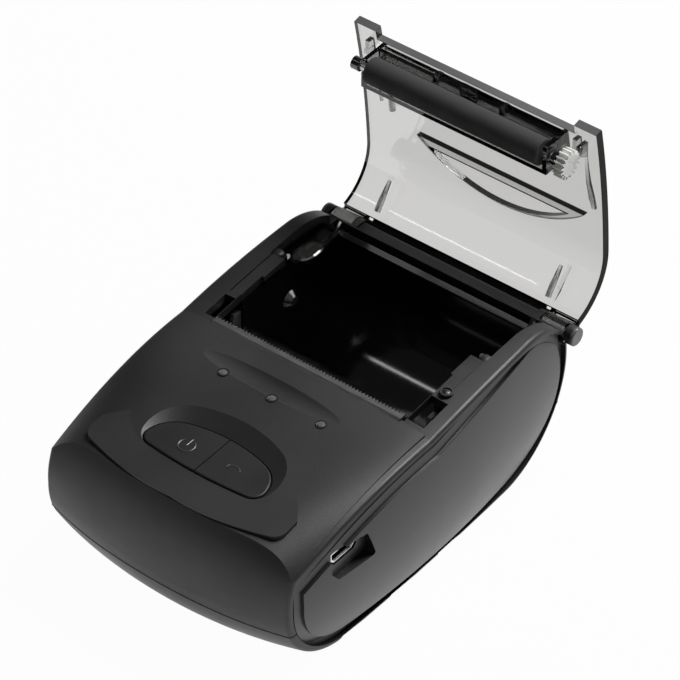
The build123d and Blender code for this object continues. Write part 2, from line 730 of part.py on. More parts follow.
def tear_bar():
    """The toothed metal strip on the panel's rear edge."""
    top = TEAR_Z + TEAR_THICK
    bar = outline_yz([(TEAR_FRONT_Y, TEAR_Z), (TEAR_FRONT_Y, top - TEAR_THICK / 3),
                      (TEAR_FRONT_Y + TEAR_THICK, top), (TEAR_REAR_Y, top),
                      (TEAR_REAR_Y, top - TEAR_THICK / 2), (TEAR_SEAT_Y, TEAR_Z)],
                     -TEAR_HALF + PANEL_GAP, TEAR_HALF - PANEL_GAP)
    count = int(2 * TEAR_HALF / TOOTH_PITCH) - 1
    first = -(count - 1) * TOOTH_PITCH / 2
    points = [(first - TOOTH_PITCH / 2, TEAR_REAR_Y + TOOTH_DEPTH)]
    for index in range(count):
        points.append((first + (index - 0.5) * TOOTH_PITCH, TEAR_REAR_Y))
        points.append((first + index * TOOTH_PITCH, TEAR_REAR_Y - TOOTH_DEPTH))
    points.append((first + (count - 0.5) * TOOTH_PITCH, TEAR_REAR_Y))
    points.append((first + (count - 0.5) * TOOTH_PITCH, TEAR_REAR_Y + TOOTH_DEPTH))
    teeth = Face(Wire(Polyline([(x, y, 0) for x, y in points], close=True).edges()))
    return bar - Pos(0, 0, TEAR_Z - TEAR_THICK) * extrude(teeth, amount=3 * TEAR_THICK, dir=(0, 0, 1))


def paper_cradle():
    """The tub that the paper roll lies in, with its cheeks, side bowls and rear wall."""
    outer = CRADLE_RADIUS + CRADLE_WALL
    cheek = BAY_HALF + CRADLE_WALL - GEAR_CLEAR
    tub = rod_x(-cheek, cheek, ROLL_Y, ROLL_Z, outer)
    tub += block(-cheek, cheek, ROLL_Y, ROLL_Y + outer, ROLL_Z, CHEEK_TOP_Z)
    tub += block(-cheek, cheek, ROLL_Y - outer, ROLL_Y, ROLL_Z, CHEEK_TOP_Z)
    tub -= rod_x(-BAY_HALF, BAY_HALF, ROLL_Y, ROLL_Z, CRADLE_RADIUS)
    tub -= block(-BAY_HALF, BAY_HALF, ROLL_Y, ROLL_Y + CRADLE_RADIUS, ROLL_Z, CHEEK_TOP_Z)
    tub -= block(-BAY_HALF, BAY_HALF, ROLL_Y - 2 * outer, ROLL_Y, GUIDE_Z, CHEEK_TOP_Z)
    tub -= block(-BAY_HALF, BAY_HALF, ROLL_Y, ROLL_Y + 2 * outer, CRADLE_REAR_Z, CHEEK_TOP_Z)
    side_cut = block(BAY_HALF, cheek, ROLL_Y - 2 * outer, FRAME_REAR_Y + PANEL_GAP,
                     0, CHEEK_TOP_Z)
    tub -= both_sides(side_cut)
    tub -= block(-cheek, cheek, ROLL_Y - outer, ROLL_Y + outer, CHEEK_TOP_Z, ROLL_Z + outer)
    tub -= rod_x(-cheek, cheek, DIP_Y, DIP_Z, DIP_RADIUS)
    front_y = ROLL_Y - CRADLE_RADIUS
    tub += outline_yz([(front_y, GUIDE_Z), (front_y - CRADLE_WALL, GUIDE_Z - CRADLE_WALL),
                       (GUIDE_FRONT_Y, GUIDE_Z + GUIDE_RISE - CRADLE_WALL),
                       (GUIDE_FRONT_Y, GUIDE_Z + GUIDE_RISE)], -BAY_HALF, BAY_HALF)
    bowl = block(BAY_HALF, BOWL_HALF + CRADLE_WALL, BOWL_FRONT_Y, REAR_INNER_Y - PANEL_GAP,
                 BOWL_Z - CRADLE_WALL, BOWL_Z)
    bowl += block(BOWL_HALF + GEAR_CLEAR, BOWL_HALF + CRADLE_WALL, BOWL_FRONT_Y,
                  REAR_INNER_Y - PANEL_GAP, BOWL_Z - CRADLE_WALL, BOWL_WALL_Z)
    ridge = block(-BAY_HALF, BAY_HALF, ROLL_Y + CRADLE_RADIUS - RIDGE_WIDTH, ROLL_Y + CRADLE_RADIUS,
                  CRADLE_REAR_Z - RIDGE_WIDTH, CRADLE_REAR_Z)
    foot = block(CRADLE_FOOT_X, CRADLE_FOOT_X + 2 * CRADLE_WALL, CRADLE_FOOT_FRONT_Y, BASE_REAR_Y,
                 WALL, ROLL_Z - CRADLE_RADIUS - CRADLE_WALL / 2)
    tub += both_sides(bowl) + ridge
    return (tub & casing_form(WALL + FLOOR_GAP)) + both_sides(foot)


def roll_supports():
    """The two plugs that steady the ends of a roll with a core."""
    base = Rot(0, 90, 0) * Cone(ROLL_PLUG_RADIUS, ROLL_PLUG_RADIUS / 2, ROLL_PLUG)
    plug = Pos(-BAY_HALF + ROLL_PLUG / 2, ROLL_Y, ROLL_Z) * base
    return both_sides(plug)


def screw(x, y, seat_z, length, down):
    """A pan-head screw with a cross recess; its head is above the seat, or below it."""
    turn = Rot(0, 0, 0) if down else Rot(180, 0, 0)
    body = Pos(0, 0, SCREW_HEAD / 2) * Cylinder(SCREW_HEAD_RADIUS, SCREW_HEAD)
    top = body.edges().filter_by(GeomType.CIRCLE).sort_by(Axis.Z)[-1]
    body = fillet(top, SCREW_HEAD / 3)
    body += Pos(0, 0, -length / 2) * Cylinder(SCREW_RADIUS, length)
    for angle in (0, 90):
        slot = Box(2 * SCREW_RADIUS, SCREW_RADIUS / 2, SCREW_HEAD)
        body -= Pos(0, 0, SCREW_HEAD) * Rot(0, 0, angle) * slot
    return Pos(x, y, seat_z) * turn * body


def group(solids):
    """Separate solids kept in one node."""
    return Compound(children=list(solids))


def case_screws():
    reach = PARTING_Z + SCREW_REACH - SCREW_SEAT_Z - SCREW_RADIUS
    return group(screw(x, y, SCREW_SEAT_Z, reach, False) for x, y in post_places())


def mechanism_screws():
    top = WALL + FRAME_WALL
    return group(screw(x, y, top, top - FLOOR_BITE_Z, True) for x, y in mechanism_screw_places())


def board_screws():
    top = BOARD_Z + BOARD_THICK
    return group(screw(x, y, BOARD_Z, top + BOARD_SCREW_REACH - BOARD_Z - SCREW_RADIUS / 2, False)
                 for x, y in board_screw_places())


def battery_door():
    gap = DOOR_GAP
    door = block(-DOOR_HALF + gap, DOOR_HALF - gap, DOOR_FRONT_Y + gap, DOOR_REAR_Y - gap,
                 gap, gap + DOOR_THICK)
    for index in range(DOOR_GRIP_COUNT):
        y = DOOR_REAR_Y - DOOR_GRIP_PITCH * (index + 2)
        door -= rod_x(-DOOR_GRIP_HALF, DOOR_GRIP_HALF, y, gap, DOOR_GRIP_RADIUS)
    return door


def battery_pack():
    pack = block(-BATTERY_HALF, BATTERY_HALF, BATTERY_FRONT_Y, BATTERY_REAR_Y,
                 BATTERY_Z, BATTERY_Z + BATTERY_HEIGHT)
    return fillet(pack.edges().filter_by(Axis.X), BATTERY_ROUND)


def contact_block():
    return block(-CONTACT_HALF, CONTACT_HALF, CONTACT_Y, CONTACT_Y + CONTACT_DEPTH,
                 WALL, WALL + CONTACT_HEIGHT)


def battery_contacts():
    """Three leaf springs between the contact block and the battery."""
    blades = []
    for x in (-CONTACT_PITCH, 0, CONTACT_PITCH):
        mid_z = WALL + CONTACT_HEIGHT / 2
        high = mid_z + BLADE_SPREAD
        low = mid_z - BLADE_SPREAD
        blades.append(outline_yz([(CONTACT_Y, high), (CONTACT_Y, high - BLADE),
                                  (BATTERY_REAR_Y + BLADE, mid_z), (CONTACT_Y, low + BLADE),
                                  (CONTACT_Y, low), (BATTERY_REAR_Y, mid_z)],
                                 x - BLADE_HALF, x + BLADE_HALF))
    return group(blades)


def main_board():
    board = block(-BOARD_HALF, BOARD_HALF, BOARD_FRONT_Y, BOARD_REAR_Y, BOARD_Z, BOARD_Z + BOARD_THICK)
    corners = board.edges().filter_by(Axis.Z).sort_by(Axis.Y)[:2]
    board = chamfer(corners, BOARD_CORNER)
    for x, y in board_screw_places():
        board -= rod_z(BOARD_Z, BOARD_Z + BOARD_THICK, x, y, SCREW_RADIUS)
    half = SOCKET_LENGTH / 2
    board += block(BOARD_HALF - BOARD_CORNER, BOARD_HALF + BOARD_TAB, SOCKET_Y - half, SOCKET_Y + half,
                   BOARD_Z, BOARD_Z + BOARD_THICK)
    return board


def usb_socket():
    """A metal-shelled socket under the board's right edge, with its tongue."""
    inner_x = SOCKET_END_X - SOCKET_DEPTH
    shell = socket_body(0, inner_x, SOCKET_END_X)
    shell -= socket_body(-SOCKET_SKIN, inner_x + SOCKET_SKIN, SOCKET_END_X)
    half = SOCKET_LENGTH / 2 - 3 * SOCKET_SKIN
    mid_z = BOARD_Z - SOCKET_HEIGHT / 2
    tongue = block(inner_x, SOCKET_END_X - 3 * SOCKET_SKIN, SOCKET_Y - half, SOCKET_Y + half,
                   mid_z - SOCKET_SKIN, mid_z + SOCKET_SKIN)
    return shell + tongue


def switch_housings():
    """The two click switches on the board, under the buttons."""
    top = BOARD_Z + BOARD_THICK
    solids = []
    for x in (-BUTTON_STEM_X, BUTTON_STEM_X):
        half = SWITCH_HALF
        body = block(x - half, x + half, BUTTON_STEM_Y - half, BUTTON_STEM_Y + half,
                     top, top + SWITCH_HEIGHT)
        body -= rod_z(top + SWITCH_FLOOR, top + 2 * SWITCH_HEIGHT, x, BUTTON_STEM_Y,
                      BUTTON_STEM_RADIUS + FIT)
        solids.append(body)
    return group(solids)


def switch_plunger(x):
    """The part of a click switch that the button pushes down."""
    low = BOARD_Z + BOARD_THICK + SWITCH_FLOOR + BUTTON_TRAVEL + FIT
    return rod_z(low, BUTTON_SKIRT_Z, x, BUTTON_STEM_Y, BUTTON_STEM_RADIUS)


def button(side):
    """One half of the egg-shaped button pair, with its retaining flange; side is -1 or 1."""
    height = BUTTON_TOP_Z + BUTTON_CROWN - BUTTON_SKIRT_Z
    body = Pos(0, 0, BUTTON_SKIRT_Z) * extrude(button_outline(0), amount=height, dir=(0, 0, 1))
    top = body.edges().group_by(Axis.Z)[-1]
    body = fillet(top, BUTTON_EDGE)
    flange = Pos(0, 0, BUTTON_SKIRT_Z) * extrude(button_outline(BUTTON_FLANGE), amount=FLANGE_THICK,
                                                 dir=(0, 0, 1))
    far = SOLID_REACH
    half = block(side * BUTTON_GAP / 2, side * far, -far, far, 0, far)
    return (body + flange) & half


def light_pipes():
    """Three clear rods that carry the light up to the panel."""
    rods = []
    for x, y in led_places():
        rods.append(rod_z(PIPE_LOW_Z, PIPE_TOP_Z, x, y, LED_RADIUS - PIPE_GAP)
                    + rod_z(PIPE_LOW_Z, PIPE_LOW_Z + PIPE_FLANGE, x, y, LED_RADIUS + PIPE_FLANGE))
    return group(rods)


def status_leds():
    top = BOARD_Z + BOARD_THICK
    half = LED_RADIUS
    return group(block(x - half, x + half, y - half / 2, y + half / 2, top, top + LED_HEIGHT)
                 for x, y in led_places())


def radio_module():
    top = BOARD_Z + BOARD_THICK
    return block(RADIO_X, RADIO_X + RADIO_LENGTH, RADIO_Y, RADIO_Y + RADIO_WIDTH, top, top + RADIO_HEIGHT)


def buzzer():
    body = rod_z(BOARD_Z - BUZZER_HEIGHT, BOARD_Z, BUZZER_X, BUZZER_Y, BUZZER_RADIUS)
    mouth = rod_z(BOARD_Z - 2 * BUZZER_HEIGHT, BOARD_Z - BUZZER_HEIGHT / 2, BUZZER_X, BUZZER_Y, SCREW_RADIUS)
    return body - mouth


def gear(teeth, x0, x1, y, z, bore, phase):
    """A spur gear about an axis along X, with straight-flanked teeth."""
    pitch = teeth * MODULE / 2
    tip = pitch + MODULE
    root = pitch - ROOT_SHARE * MODULE
    step = 2 * math.pi / teeth
    points = []
    for index in range(teeth):
        centre = index * step + math.radians(phase)
        for radius, share in ((root, -TOOTH_ROOT_SHARE), (tip, -TOOTH_TOP_SHARE),
                              (tip, TOOTH_TOP_SHARE), (root, TOOTH_ROOT_SHARE)):
            angle = centre + share * step / 2
            points.append((y + radius * math.cos(angle), z + radius * math.sin(angle)))
    return outline_yz(points, x0, x1) - rod_x(x0, x1, y, z, bore)


def meshing_point(a, reach_a, b, reach_b):
    """The point at the given distances from a and b, on the side nearer the front."""
    dy = b[0] - a[0]
    dz = b[1] - a[1]
    span = math.hypot(dy, dz)
    along = (reach_a ** 2 - reach_b ** 2 + span ** 2) / (2 * span)
    across = math.sqrt(reach_a ** 2 - along ** 2)
    return (a[0] + (along * dy - across * dz) / span, a[1] + (along * dz + across * dy) / span)


def meshing_phase(teeth_a, a, phase_a, teeth_b, b):
    """The turn of gear b, in degrees, that puts its gaps opposite the teeth of gear a."""
    toward = math.degrees(math.atan2(b[1] - a[1], b[0] - a[0]))
    step_a = 360 / teeth_a
    step_b = 360 / teeth_b
    share = ((toward - phase_a) / step_a) % 1
    return toward + 180 - (0.5 - share) * step_b


def mesh_reach(teeth_a, teeth_b):
    return (teeth_a + teeth_b) * MODULE / 2 + BACKLASH


MOTOR_AXIS = (MOTOR_Y, MOTOR_Z)
PLATEN_CLOSED = (PLATEN_Y, PLATEN_Z)
DRIVE_REACH = mesh_reach(PLATEN_TEETH, DRIVE_TEETH) + 2 * MODULE
DRIVE_AXIS = (PLATEN_CLOSED[0] + DRIVE_DY,
              PLATEN_CLOSED[1] - math.sqrt(DRIVE_REACH ** 2 - DRIVE_DY ** 2))
REDUCTION_AXIS = meshing_point(MOTOR_AXIS, mesh_reach(MOTOR_TEETH, REDUCTION_TEETH),
                               DRIVE_AXIS, mesh_reach(REDUCTION_PINION_TEETH, DRIVE_TEETH))
HEAD_FACE_Y = PLATEN_CLOSED[0] - ROLLER_RADIUS - PAPER_GAP
HEAD_BACK_Y = HEAD_FACE_Y - HEAD_THICK
SINK_BACK_Y = HEAD_BACK_Y - HEATSINK_THICK
FRAME_OUT = FRAME_IN + FRAME_WALL
AXLE_END = OUTER_PLANE_OUT + GEAR_CLEAR


def print_frame():
    """The bent steel frame that carries the print head, the gears and the motor."""
    side = block(FRAME_IN, FRAME_OUT, FRAME_FRONT_Y, FRAME_REAR_Y, WALL, FRAME_TOP_Z)
    foot = block(FRAME_IN - FRAME_FOOT, FRAME_IN, FRAME_FRONT_Y, FRAME_REAR_Y, WALL, WALL + FRAME_WALL)
    slot_y, slot_z = PLATEN_CLOSED
    slot = rod_x(FRAME_IN, FRAME_OUT, slot_y, slot_z, BUSH_RADIUS + GEAR_CLEAR)
    slot += outline_yz([(slot_y - BUSH_RADIUS - GEAR_CLEAR, slot_z),
                        (slot_y + BUSH_RADIUS + GEAR_CLEAR, slot_z),
                        (slot_y + 2 * BUSH_RADIUS, FRAME_TOP_Z + WALL),
                        (slot_y - BUSH_RADIUS - 2 * GEAR_CLEAR, FRAME_TOP_Z + WALL)], FRAME_IN, FRAME_OUT)
    frame = both_sides(side + foot - slot)
    frame += block(-FRAME_IN, FRAME_IN, FRAME_FRONT_Y, FRAME_FRONT_Y + FRAME_WALL,
                   CROSS_LOW_Z, FRAME_TOP_Z)
    for x, y in mechanism_screw_places():
        frame -= rod_z(0, WALL + 2 * FRAME_WALL, x, y, SCREW_RADIUS)
    frame -= rod_x(FRAME_IN, FRAME_OUT, MOTOR_Y, MOTOR_Z, MOTOR_SHAFT_RADIUS + GEAR_CLEAR)
    for y, z in (DRIVE_AXIS, REDUCTION_AXIS):
        frame -= rod_x(FRAME_IN, FRAME_OUT, y, z, AXLE_RADIUS)
    return frame


def gear_axles():
    """The two fixed studs that the gears turn on."""
    drive = rod_x(FRAME_IN, INNER_PLANE_OUT, *DRIVE_AXIS, AXLE_RADIUS)
    return group([drive, rod_x(FRAME_IN, AXLE_END, *REDUCTION_AXIS, AXLE_RADIUS)])


def stepper_motor():
    start = FRAME_IN - MOTOR_LENGTH
    body = rod_x(start, FRAME_IN, MOTOR_Y, MOTOR_Z, MOTOR_RADIUS)
    body = fillet(body.edges().filter_by(GeomType.CIRCLE), MOTOR_ROUND)
    body -= rod_x(FRAME_IN - MOTOR_BORE, FRAME_IN, MOTOR_Y, MOTOR_Z, MOTOR_SHAFT_RADIUS + FIT)
    for index in range(MOTOR_LEADS):
        z = MOTOR_Z + (index - (MOTOR_LEADS - 1) / 2) * MOTOR_LEAD_PITCH
        body += rod_x(start - MOTOR_LEAD_PITCH, start, MOTOR_Y, z, MOTOR_LEAD_RADIUS)
    return body


def motor_shaft():
    return rod_x(FRAME_IN - MOTOR_BORE + GEAR_CLEAR, AXLE_END, MOTOR_Y, MOTOR_Z, MOTOR_SHAFT_RADIUS)


def reduction_pinion_phase():
    return meshing_phase(DRIVE_TEETH, DRIVE_AXIS, FIRST_PHASE, REDUCTION_PINION_TEETH, REDUCTION_AXIS)


def motor_phase():
    return meshing_phase(REDUCTION_TEETH, REDUCTION_AXIS, FIRST_PHASE, MOTOR_TEETH, MOTOR_AXIS)


def drive_gear():
    return gear(DRIVE_TEETH, INNER_PLANE_IN, INNER_PLANE_OUT, *DRIVE_AXIS, AXLE_RADIUS + FIT, FIRST_PHASE)


def reduction_gear():
    """The stepped gear: a large wheel with a small pinion on one hub."""
    wheel = gear(REDUCTION_TEETH, OUTER_PLANE_IN, OUTER_PLANE_OUT, *REDUCTION_AXIS,
                 AXLE_RADIUS + FIT, FIRST_PHASE)
    pinion = gear(REDUCTION_PINION_TEETH, INNER_PLANE_IN, OUTER_PLANE_IN, *REDUCTION_AXIS,
                  AXLE_RADIUS + FIT, reduction_pinion_phase())
    return wheel + pinion


def motor_pinion():
    return gear(MOTOR_TEETH, OUTER_PLANE_IN, OUTER_PLANE_OUT, *MOTOR_AXIS,
                MOTOR_SHAFT_RADIUS, motor_phase())


def print_head():
    """The ceramic print head plate with its glaze line and driver bump."""
    plate = block(-HEAD_HALF, HEAD_HALF, HEAD_BACK_Y, HEAD_FACE_Y - GLAZE, HEAD_BOTTOM_Z, HEAD_TOP_Z)
    line_z = PLATEN_CLOSED[1]
    plate += block(-HEAD_HALF + GLAZE, HEAD_HALF - GLAZE, HEAD_BACK_Y, HEAD_FACE_Y,
                   line_z - GLAZE, line_z + GLAZE)
    return plate


def head_heatsink():
    plate = block(-HEAD_HALF, HEAD_HALF, SINK_BACK_Y, HEAD_BACK_Y, HEAD_BOTTOM_Z - SINK_TAIL, HEAD_TOP_Z)
    tail = rod_x(-HEAD_HALF - SINK_TAIL / 2, HEAD_HALF + SINK_TAIL / 2,
                 (SINK_BACK_Y + HEAD_BACK_Y) / 2, HEAD_BOTTOM_Z - SINK_TAIL / 2, SINK_PIVOT_RADIUS)
    return plate + tail


def head_springs():
    """Two coil springs that press the head towards the roller."""
    start = FRAME_FRONT_Y + FRAME_WALL + SPRING_WIRE
    height = SINK_BACK_Y - SPRING_WIRE - start
    mean = SPRING_RADIUS - SPRING_WIRE
    path = Helix(height / SPRING_TURNS, height, mean)
    profile = Plane(path @ 0, z_dir=path % 0) * Circle(SPRING_WIRE)
    coil = sweep(profile, path=path)
    place = Rot(-90, 0, 0) * coil
    return group(Pos(x, start, SPRING_Z) * place for x in (-SPRING_X, SPRING_X))


def head_cable():
    """The flat cable from the print head down under the frame and up to the board."""
    thick = CABLE_THICK
    y0 = HEAD_BACK_Y + GLAZE
    y1 = FRAME_FRONT_Y - CABLE_REACH
    low = CROSS_LOW_Z - CABLE_REACH
    points = [(y0, HEAD_BOTTOM_Z), (y0 + thick, HEAD_BOTTOM_Z), (y0 + thick, low), (y1 - thick, low),
              (y1 - thick, BOARD_Z), (y1, BOARD_Z), (y1, low + thick), (y0, low + thick)]
    return outline_yz(points, -CABLE_HALF, CABLE_HALF)


def paper_sensor():
    """The small light sensor in front of the guide that sees whether paper is there."""
    front_y = GUIDE_FRONT_Y + GLAZE
    back_y = front_y + 2 * SENSOR_HALF
    slope = GUIDE_RISE / (ROLL_Y - CRADLE_RADIUS - CRADLE_WALL - GUIDE_FRONT_Y)
    front_z = GUIDE_Z + GUIDE_RISE - CRADLE_WALL - slope * GLAZE
    back_z = front_z - 2 * slope * SENSOR_HALF
    return outline_yz([(front_y, front_z), (back_y, back_z), (back_y, back_z - SENSOR_HALF),
                       (front_y, back_z - SENSOR_HALF)], -SENSOR_HALF, SENSOR_HALF)


def hinge_pin():
    """The right hinge pin, with its round head outside the casing."""
    outer = HINGE_SPACE + LUG_WIDTH
    pin = rod_x(BARREL_IN - LUG_GAP - LUG_WIDTH, outer, HINGE_Y, HINGE_Z, PIN_RADIUS)
    head = rod_x(outer, outer + PIN_HEAD, HINGE_Y, HINGE_Z, BARREL_RADIUS)
    head = fillet(head.edges().filter_by(GeomType.CIRCLE).sort_by(Axis.X)[-1], PIN_HEAD / 2)
    return pin + head


def arc_centre(p, q, r):
    """The centre of the circle through three points."""
    d = 2 * (p[0] * (q[1] - r[1]) + q[0] * (r[1] - p[1]) + r[0] * (p[1] - q[1]))
    squares = [v[0] ** 2 + v[1] ** 2 for v in (p, q, r)]
    y = (squares[0] * (q[1] - r[1]) + squares[1] * (r[1] - p[1]) + squares[2] * (p[1] - q[1])) / d
    z = (squares[0] * (r[0] - q[0]) + squares[1] * (p[0] - r[0]) + squares[2] * (q[0] - p[0])) / d
    return (y, z)


def toward(point, centre, amount):
    """The point moved towards the centre by the amount."""
    span = math.hypot(centre[0] - point[0], centre[1] - point[1])
    return (point[0] + (centre[0] - point[0]) * amount / span,
            point[1] + (centre[1] - point[1]) * amount / span)


def sheet_arcs():
    """The two arcs of the cover's outer face: each is start, middle, end and centre."""
    tip = (COVER_TIP_Y, COVER_TIP_Z)
    waist = (COVER_WAIST_Y, COVER_WAIST_Z)
    belly = (COVER_BELLY_Y, COVER_BELLY_Z)
    foot = (COVER_FOOT_Y, COVER_FOOT_Z)
    upper = arc_centre(tip, waist, belly)
    span = math.hypot(belly[0] - upper[0], belly[1] - upper[1])
    inward = ((upper[0] - belly[0]) / span, (upper[1] - belly[1]) / span)
    d = (foot[0] - belly[0], foot[1] - belly[1])
    radius = (d[0] ** 2 + d[1] ** 2) / (2 * (d[0] * inward[0] + d[1] * inward[1]))
    lower = (belly[0] + inward[0] * radius, belly[1] + inward[1] * radius)
    chord = ((belly[0] + foot[0]) / 2, (belly[1] + foot[1]) / 2)
    half_chord = math.hypot(d[0], d[1]) / 2
    rise = radius - math.sqrt(radius ** 2 - half_chord ** 2)
    middle = toward(chord, lower, -rise)
    return [(tip, waist, belly, upper), (belly, middle, foot, lower)]


def sheet_band(outside, inside, x0, x1):
    """A curved band along the cover's face, between two depths below its outer surface."""
    band = None
    for start, middle, end, centre in sheet_arcs():
        outer = [toward(point, centre, outside) for point in (start, middle, end)]
        inner = [toward(point, centre, inside) for point in (end, middle, start)]
        flat = [[(0, y, z) for y, z in points] for points in (outer, inner)]
        edges = [ThreePointArc(*flat[0]), Line(flat[0][2], flat[1][0]), ThreePointArc(*flat[1]),
                 Line(flat[1][2], flat[0][0])]
        piece = slab(edges, x0, x1)
        band = piece if band is None else band + piece
    return band


def moon_prism(wall, corner):
    """The half-moon of the finger grip as a long prism, drawn in by a wall and at its corners."""
    left = (GRIP_X - GRIP_HALF + corner, 0, GRIP_TOP_Z - wall)
    right = (GRIP_X + GRIP_HALF - corner, 0, GRIP_TOP_Z - wall)
    low = (GRIP_X, 0, GRIP_TOP_Z - GRIP_DROP + wall)
    outline = Face(Wire([Line(left, right), ThreePointArc(right, low, left)]))
    return extrude(outline, amount=SOLID_REACH, dir=(0, 1, 0))


def grip_moon():
    """The half-moon finger grip on the outside of the cover."""
    return moon_prism(0, 0) & sheet_band(-GRIP_PROUD, COVER_THICK / 2, -COVER_HALF, COVER_HALF)


def grip_hollow():
    """The hollow behind the finger grip, which keeps the cover's wall even."""
    band = sheet_band(COVER_THICK - GRIP_PROUD, COVER_THICK + GRIP_PROUD, -COVER_HALF, COVER_HALF)
    return moon_prism(GRIP_WALL, GRIP_CORNER) & band


def foot_wrap():
    """The curl of the cover's foot, round the hinge and under it."""
    reach = math.hypot(COVER_FOOT_Y - HINGE_Y, COVER_FOOT_Z - HINGE_Z)
    ring = rod_x(-COVER_HALF, COVER_HALF, HINGE_Y, HINGE_Z, reach)
    ring -= rod_x(-COVER_HALF, COVER_HALF, HINGE_Y, HINGE_Z, BARREL_RADIUS + FOOT_CLEAR)
    turn = math.radians(FOOT_WRAP_DEG)
    far = 2 * reach
    wedge = outline_yz([(HINGE_Y, HINGE_Z), (HINGE_Y + far, HINGE_Z),
                        (HINGE_Y + far * math.cos(turn), HINGE_Z - far * math.sin(turn))],
                       -COVER_HALF, COVER_HALF)
    return ring & wedge


def cover_shell():
    """The clear paper cover with its ears, hinge barrels, stiffening ribs and finger grip."""
    sheet = sheet_band(0, COVER_THICK, -COVER_HALF, COVER_HALF)
    notch_z = COVER_TIP_Z - EAR_STEP
    sheet -= block(-EAR_IN, EAR_IN, ROLLER_Y, COVER_BELLY_Y, notch_z, COVER_TIP_Z + EAR_STEP)
    barrel = rod_x(BARREL_IN, BARREL_OUT, HINGE_Y, HINGE_Z, BARREL_RADIUS)
    web = block(BARREL_IN, BARREL_OUT, HINGE_Y, COVER_FOOT_Y, HINGE_Z - BARREL_RADIUS + WEB_DROP,
                HINGE_Z + WEB_RISE)
    rib = outline_yz([(COVER_FOOT_Y - RIB_FOOT, COVER_FOOT_Z + WEB_RISE), (COVER_FOOT_Y, COVER_FOOT_Z),
                      (COVER_BELLY_Y - COVER_THICK, RIB_TIP_Z)], RIB_X, RIB_X + RIB_THICK)
    rib &= sheet_fill()
    cover = sheet + both_sides(barrel + web + rib) + foot_wrap() + grip_moon() - grip_hollow()
    hook = block(EAR_IN + WEB_RISE, EAR_IN + WEB_RISE + RIB_THICK, COVER_TIP_Y - HOOK_DEPTH, COVER_TIP_Y,
                 notch_z - HOOK_LENGTH, notch_z)
    hook += block(EAR_IN + WEB_RISE, EAR_IN + HOOK_REACH, COVER_TIP_Y - HOOK_DEPTH, COVER_TIP_Y,
                  notch_z - HOOK_LENGTH, notch_z - HOOK_LENGTH + RIB_THICK)
    cover += both_sides(hook)
    cover -= rod_x(-HALF_WIDTH, HALF_WIDTH, HINGE_Y, HINGE_Z, PIN_RADIUS + FIT)
    return cover


def sheet_fill():
    """The space on the inner side of the cover's outer face."""
    space = None
    for start, middle, end, _ in sheet_arcs():
        far = [(0, COVER_FOOT_Y - RIB_FOOT, end[1]), (0, COVER_FOOT_Y - RIB_FOOT, start[1])]
        arc = [(0, y, z) for y, z in (start, middle, end)]
        edges = [ThreePointArc(*arc), Line(arc[2], far[0]), Line(far[0], far[1]), Line(far[1], arc[0])]
        piece = slab(edges, -COVER_HALF, COVER_HALF)
        space = piece if space is None else space + piece
    return space


def holder_space():
    """The space in front of the cover's inner face, where the roller holder fits."""
    upper = sheet_arcs()[0]
    centre = upper[3]
    radius = math.hypot(upper[0][0] - centre[0], upper[0][1] - centre[1]) - COVER_THICK
    return rod_x(-COVER_HALF, COVER_HALF, centre[0], centre[1], radius)


def roller_holder():
    """The clear trough that holds the roller inside the cover's free edge."""
    wall = HOLDER_WALL
    back_y = ROLLER_Y + ROLLER_RADIUS + HOLDER_GAP
    low_z = ROLLER_Z - ROLLER_RADIUS - HOLDER_GAP - wall
    top_z = COVER_TIP_Z - EAR_STEP
    reach_y = COVER_BELLY_Y
    holder = block(-HOLDER_HALF, HOLDER_HALF, back_y, back_y + wall, low_z, top_z)
    holder += block(-HOLDER_HALF, HOLDER_HALF, ROLLER_Y - HOLDER_LIP, reach_y, low_z, low_z + wall)
    shelf_z = top_z - SHELF_DROP
    holder += block(-HOLDER_HALF, HOLDER_HALF, back_y, reach_y, shelf_z - wall, shelf_z)
    for x in (-HOLDER_RIB_X, HOLDER_RIB_X):
        holder += block(x - wall / 2, x + wall / 2, back_y, reach_y, shelf_z, top_z - HOLDER_GAP)
    end = block(HOLDER_HALF - wall, HOLDER_HALF, ROLLER_Y - HOLDER_LIP, reach_y, low_z, top_z)
    end -= rod_x(0, HOLDER_HALF, ROLLER_Y, ROLLER_Z, SHAFT_RADIUS + FIT)
    end -= block(0, HOLDER_HALF, ROLLER_Y - 2 * HOLDER_LIP, ROLLER_Y,
                 ROLLER_Z - SHAFT_RADIUS * SNAP_SHARE, ROLLER_Z + SHAFT_RADIUS * SNAP_SHARE)
    holder += both_sides(end)
    holder += block(-HOLDER_TAB, HOLDER_TAB, back_y, back_y + 2 * wall, shelf_z, top_z + HOLDER_GAP)
    return holder & holder_space()


def platen_shaft():
    return rod_x(-BUSH_OUT, PLATEN_GEAR_OUT, ROLLER_Y, ROLLER_Z, SHAFT_RADIUS)


def platen_rubber():
    tube = rod_x(-ROLLER_HALF, ROLLER_HALF, ROLLER_Y, ROLLER_Z, ROLLER_RADIUS)
    tube = chamfer(tube.edges().filter_by(GeomType.CIRCLE), PIPE_GAP * 4)
    return tube - rod_x(-ROLLER_HALF, ROLLER_HALF, ROLLER_Y, ROLLER_Z, SHAFT_RADIUS)


def platen_gear():
    return gear(PLATEN_TEETH, PLATEN_GEAR_IN, PLATEN_GEAR_OUT, ROLLER_Y, ROLLER_Z, SHAFT_RADIUS, FIRST_PHASE)


def bush(side):
    """A plain bearing on the roller's shaft, which drops into the frame's slot; side is -1 or 1."""
    body = rod_x(side * BUSH_IN, side * BUSH_OUT, ROLLER_Y, ROLLER_Z, BUSH_RADIUS)
    return body - rod_x(side * BUSH_IN, side * BUSH_OUT, ROLLER_Y, ROLLER_Z, SHAFT_RADIUS + FIT)


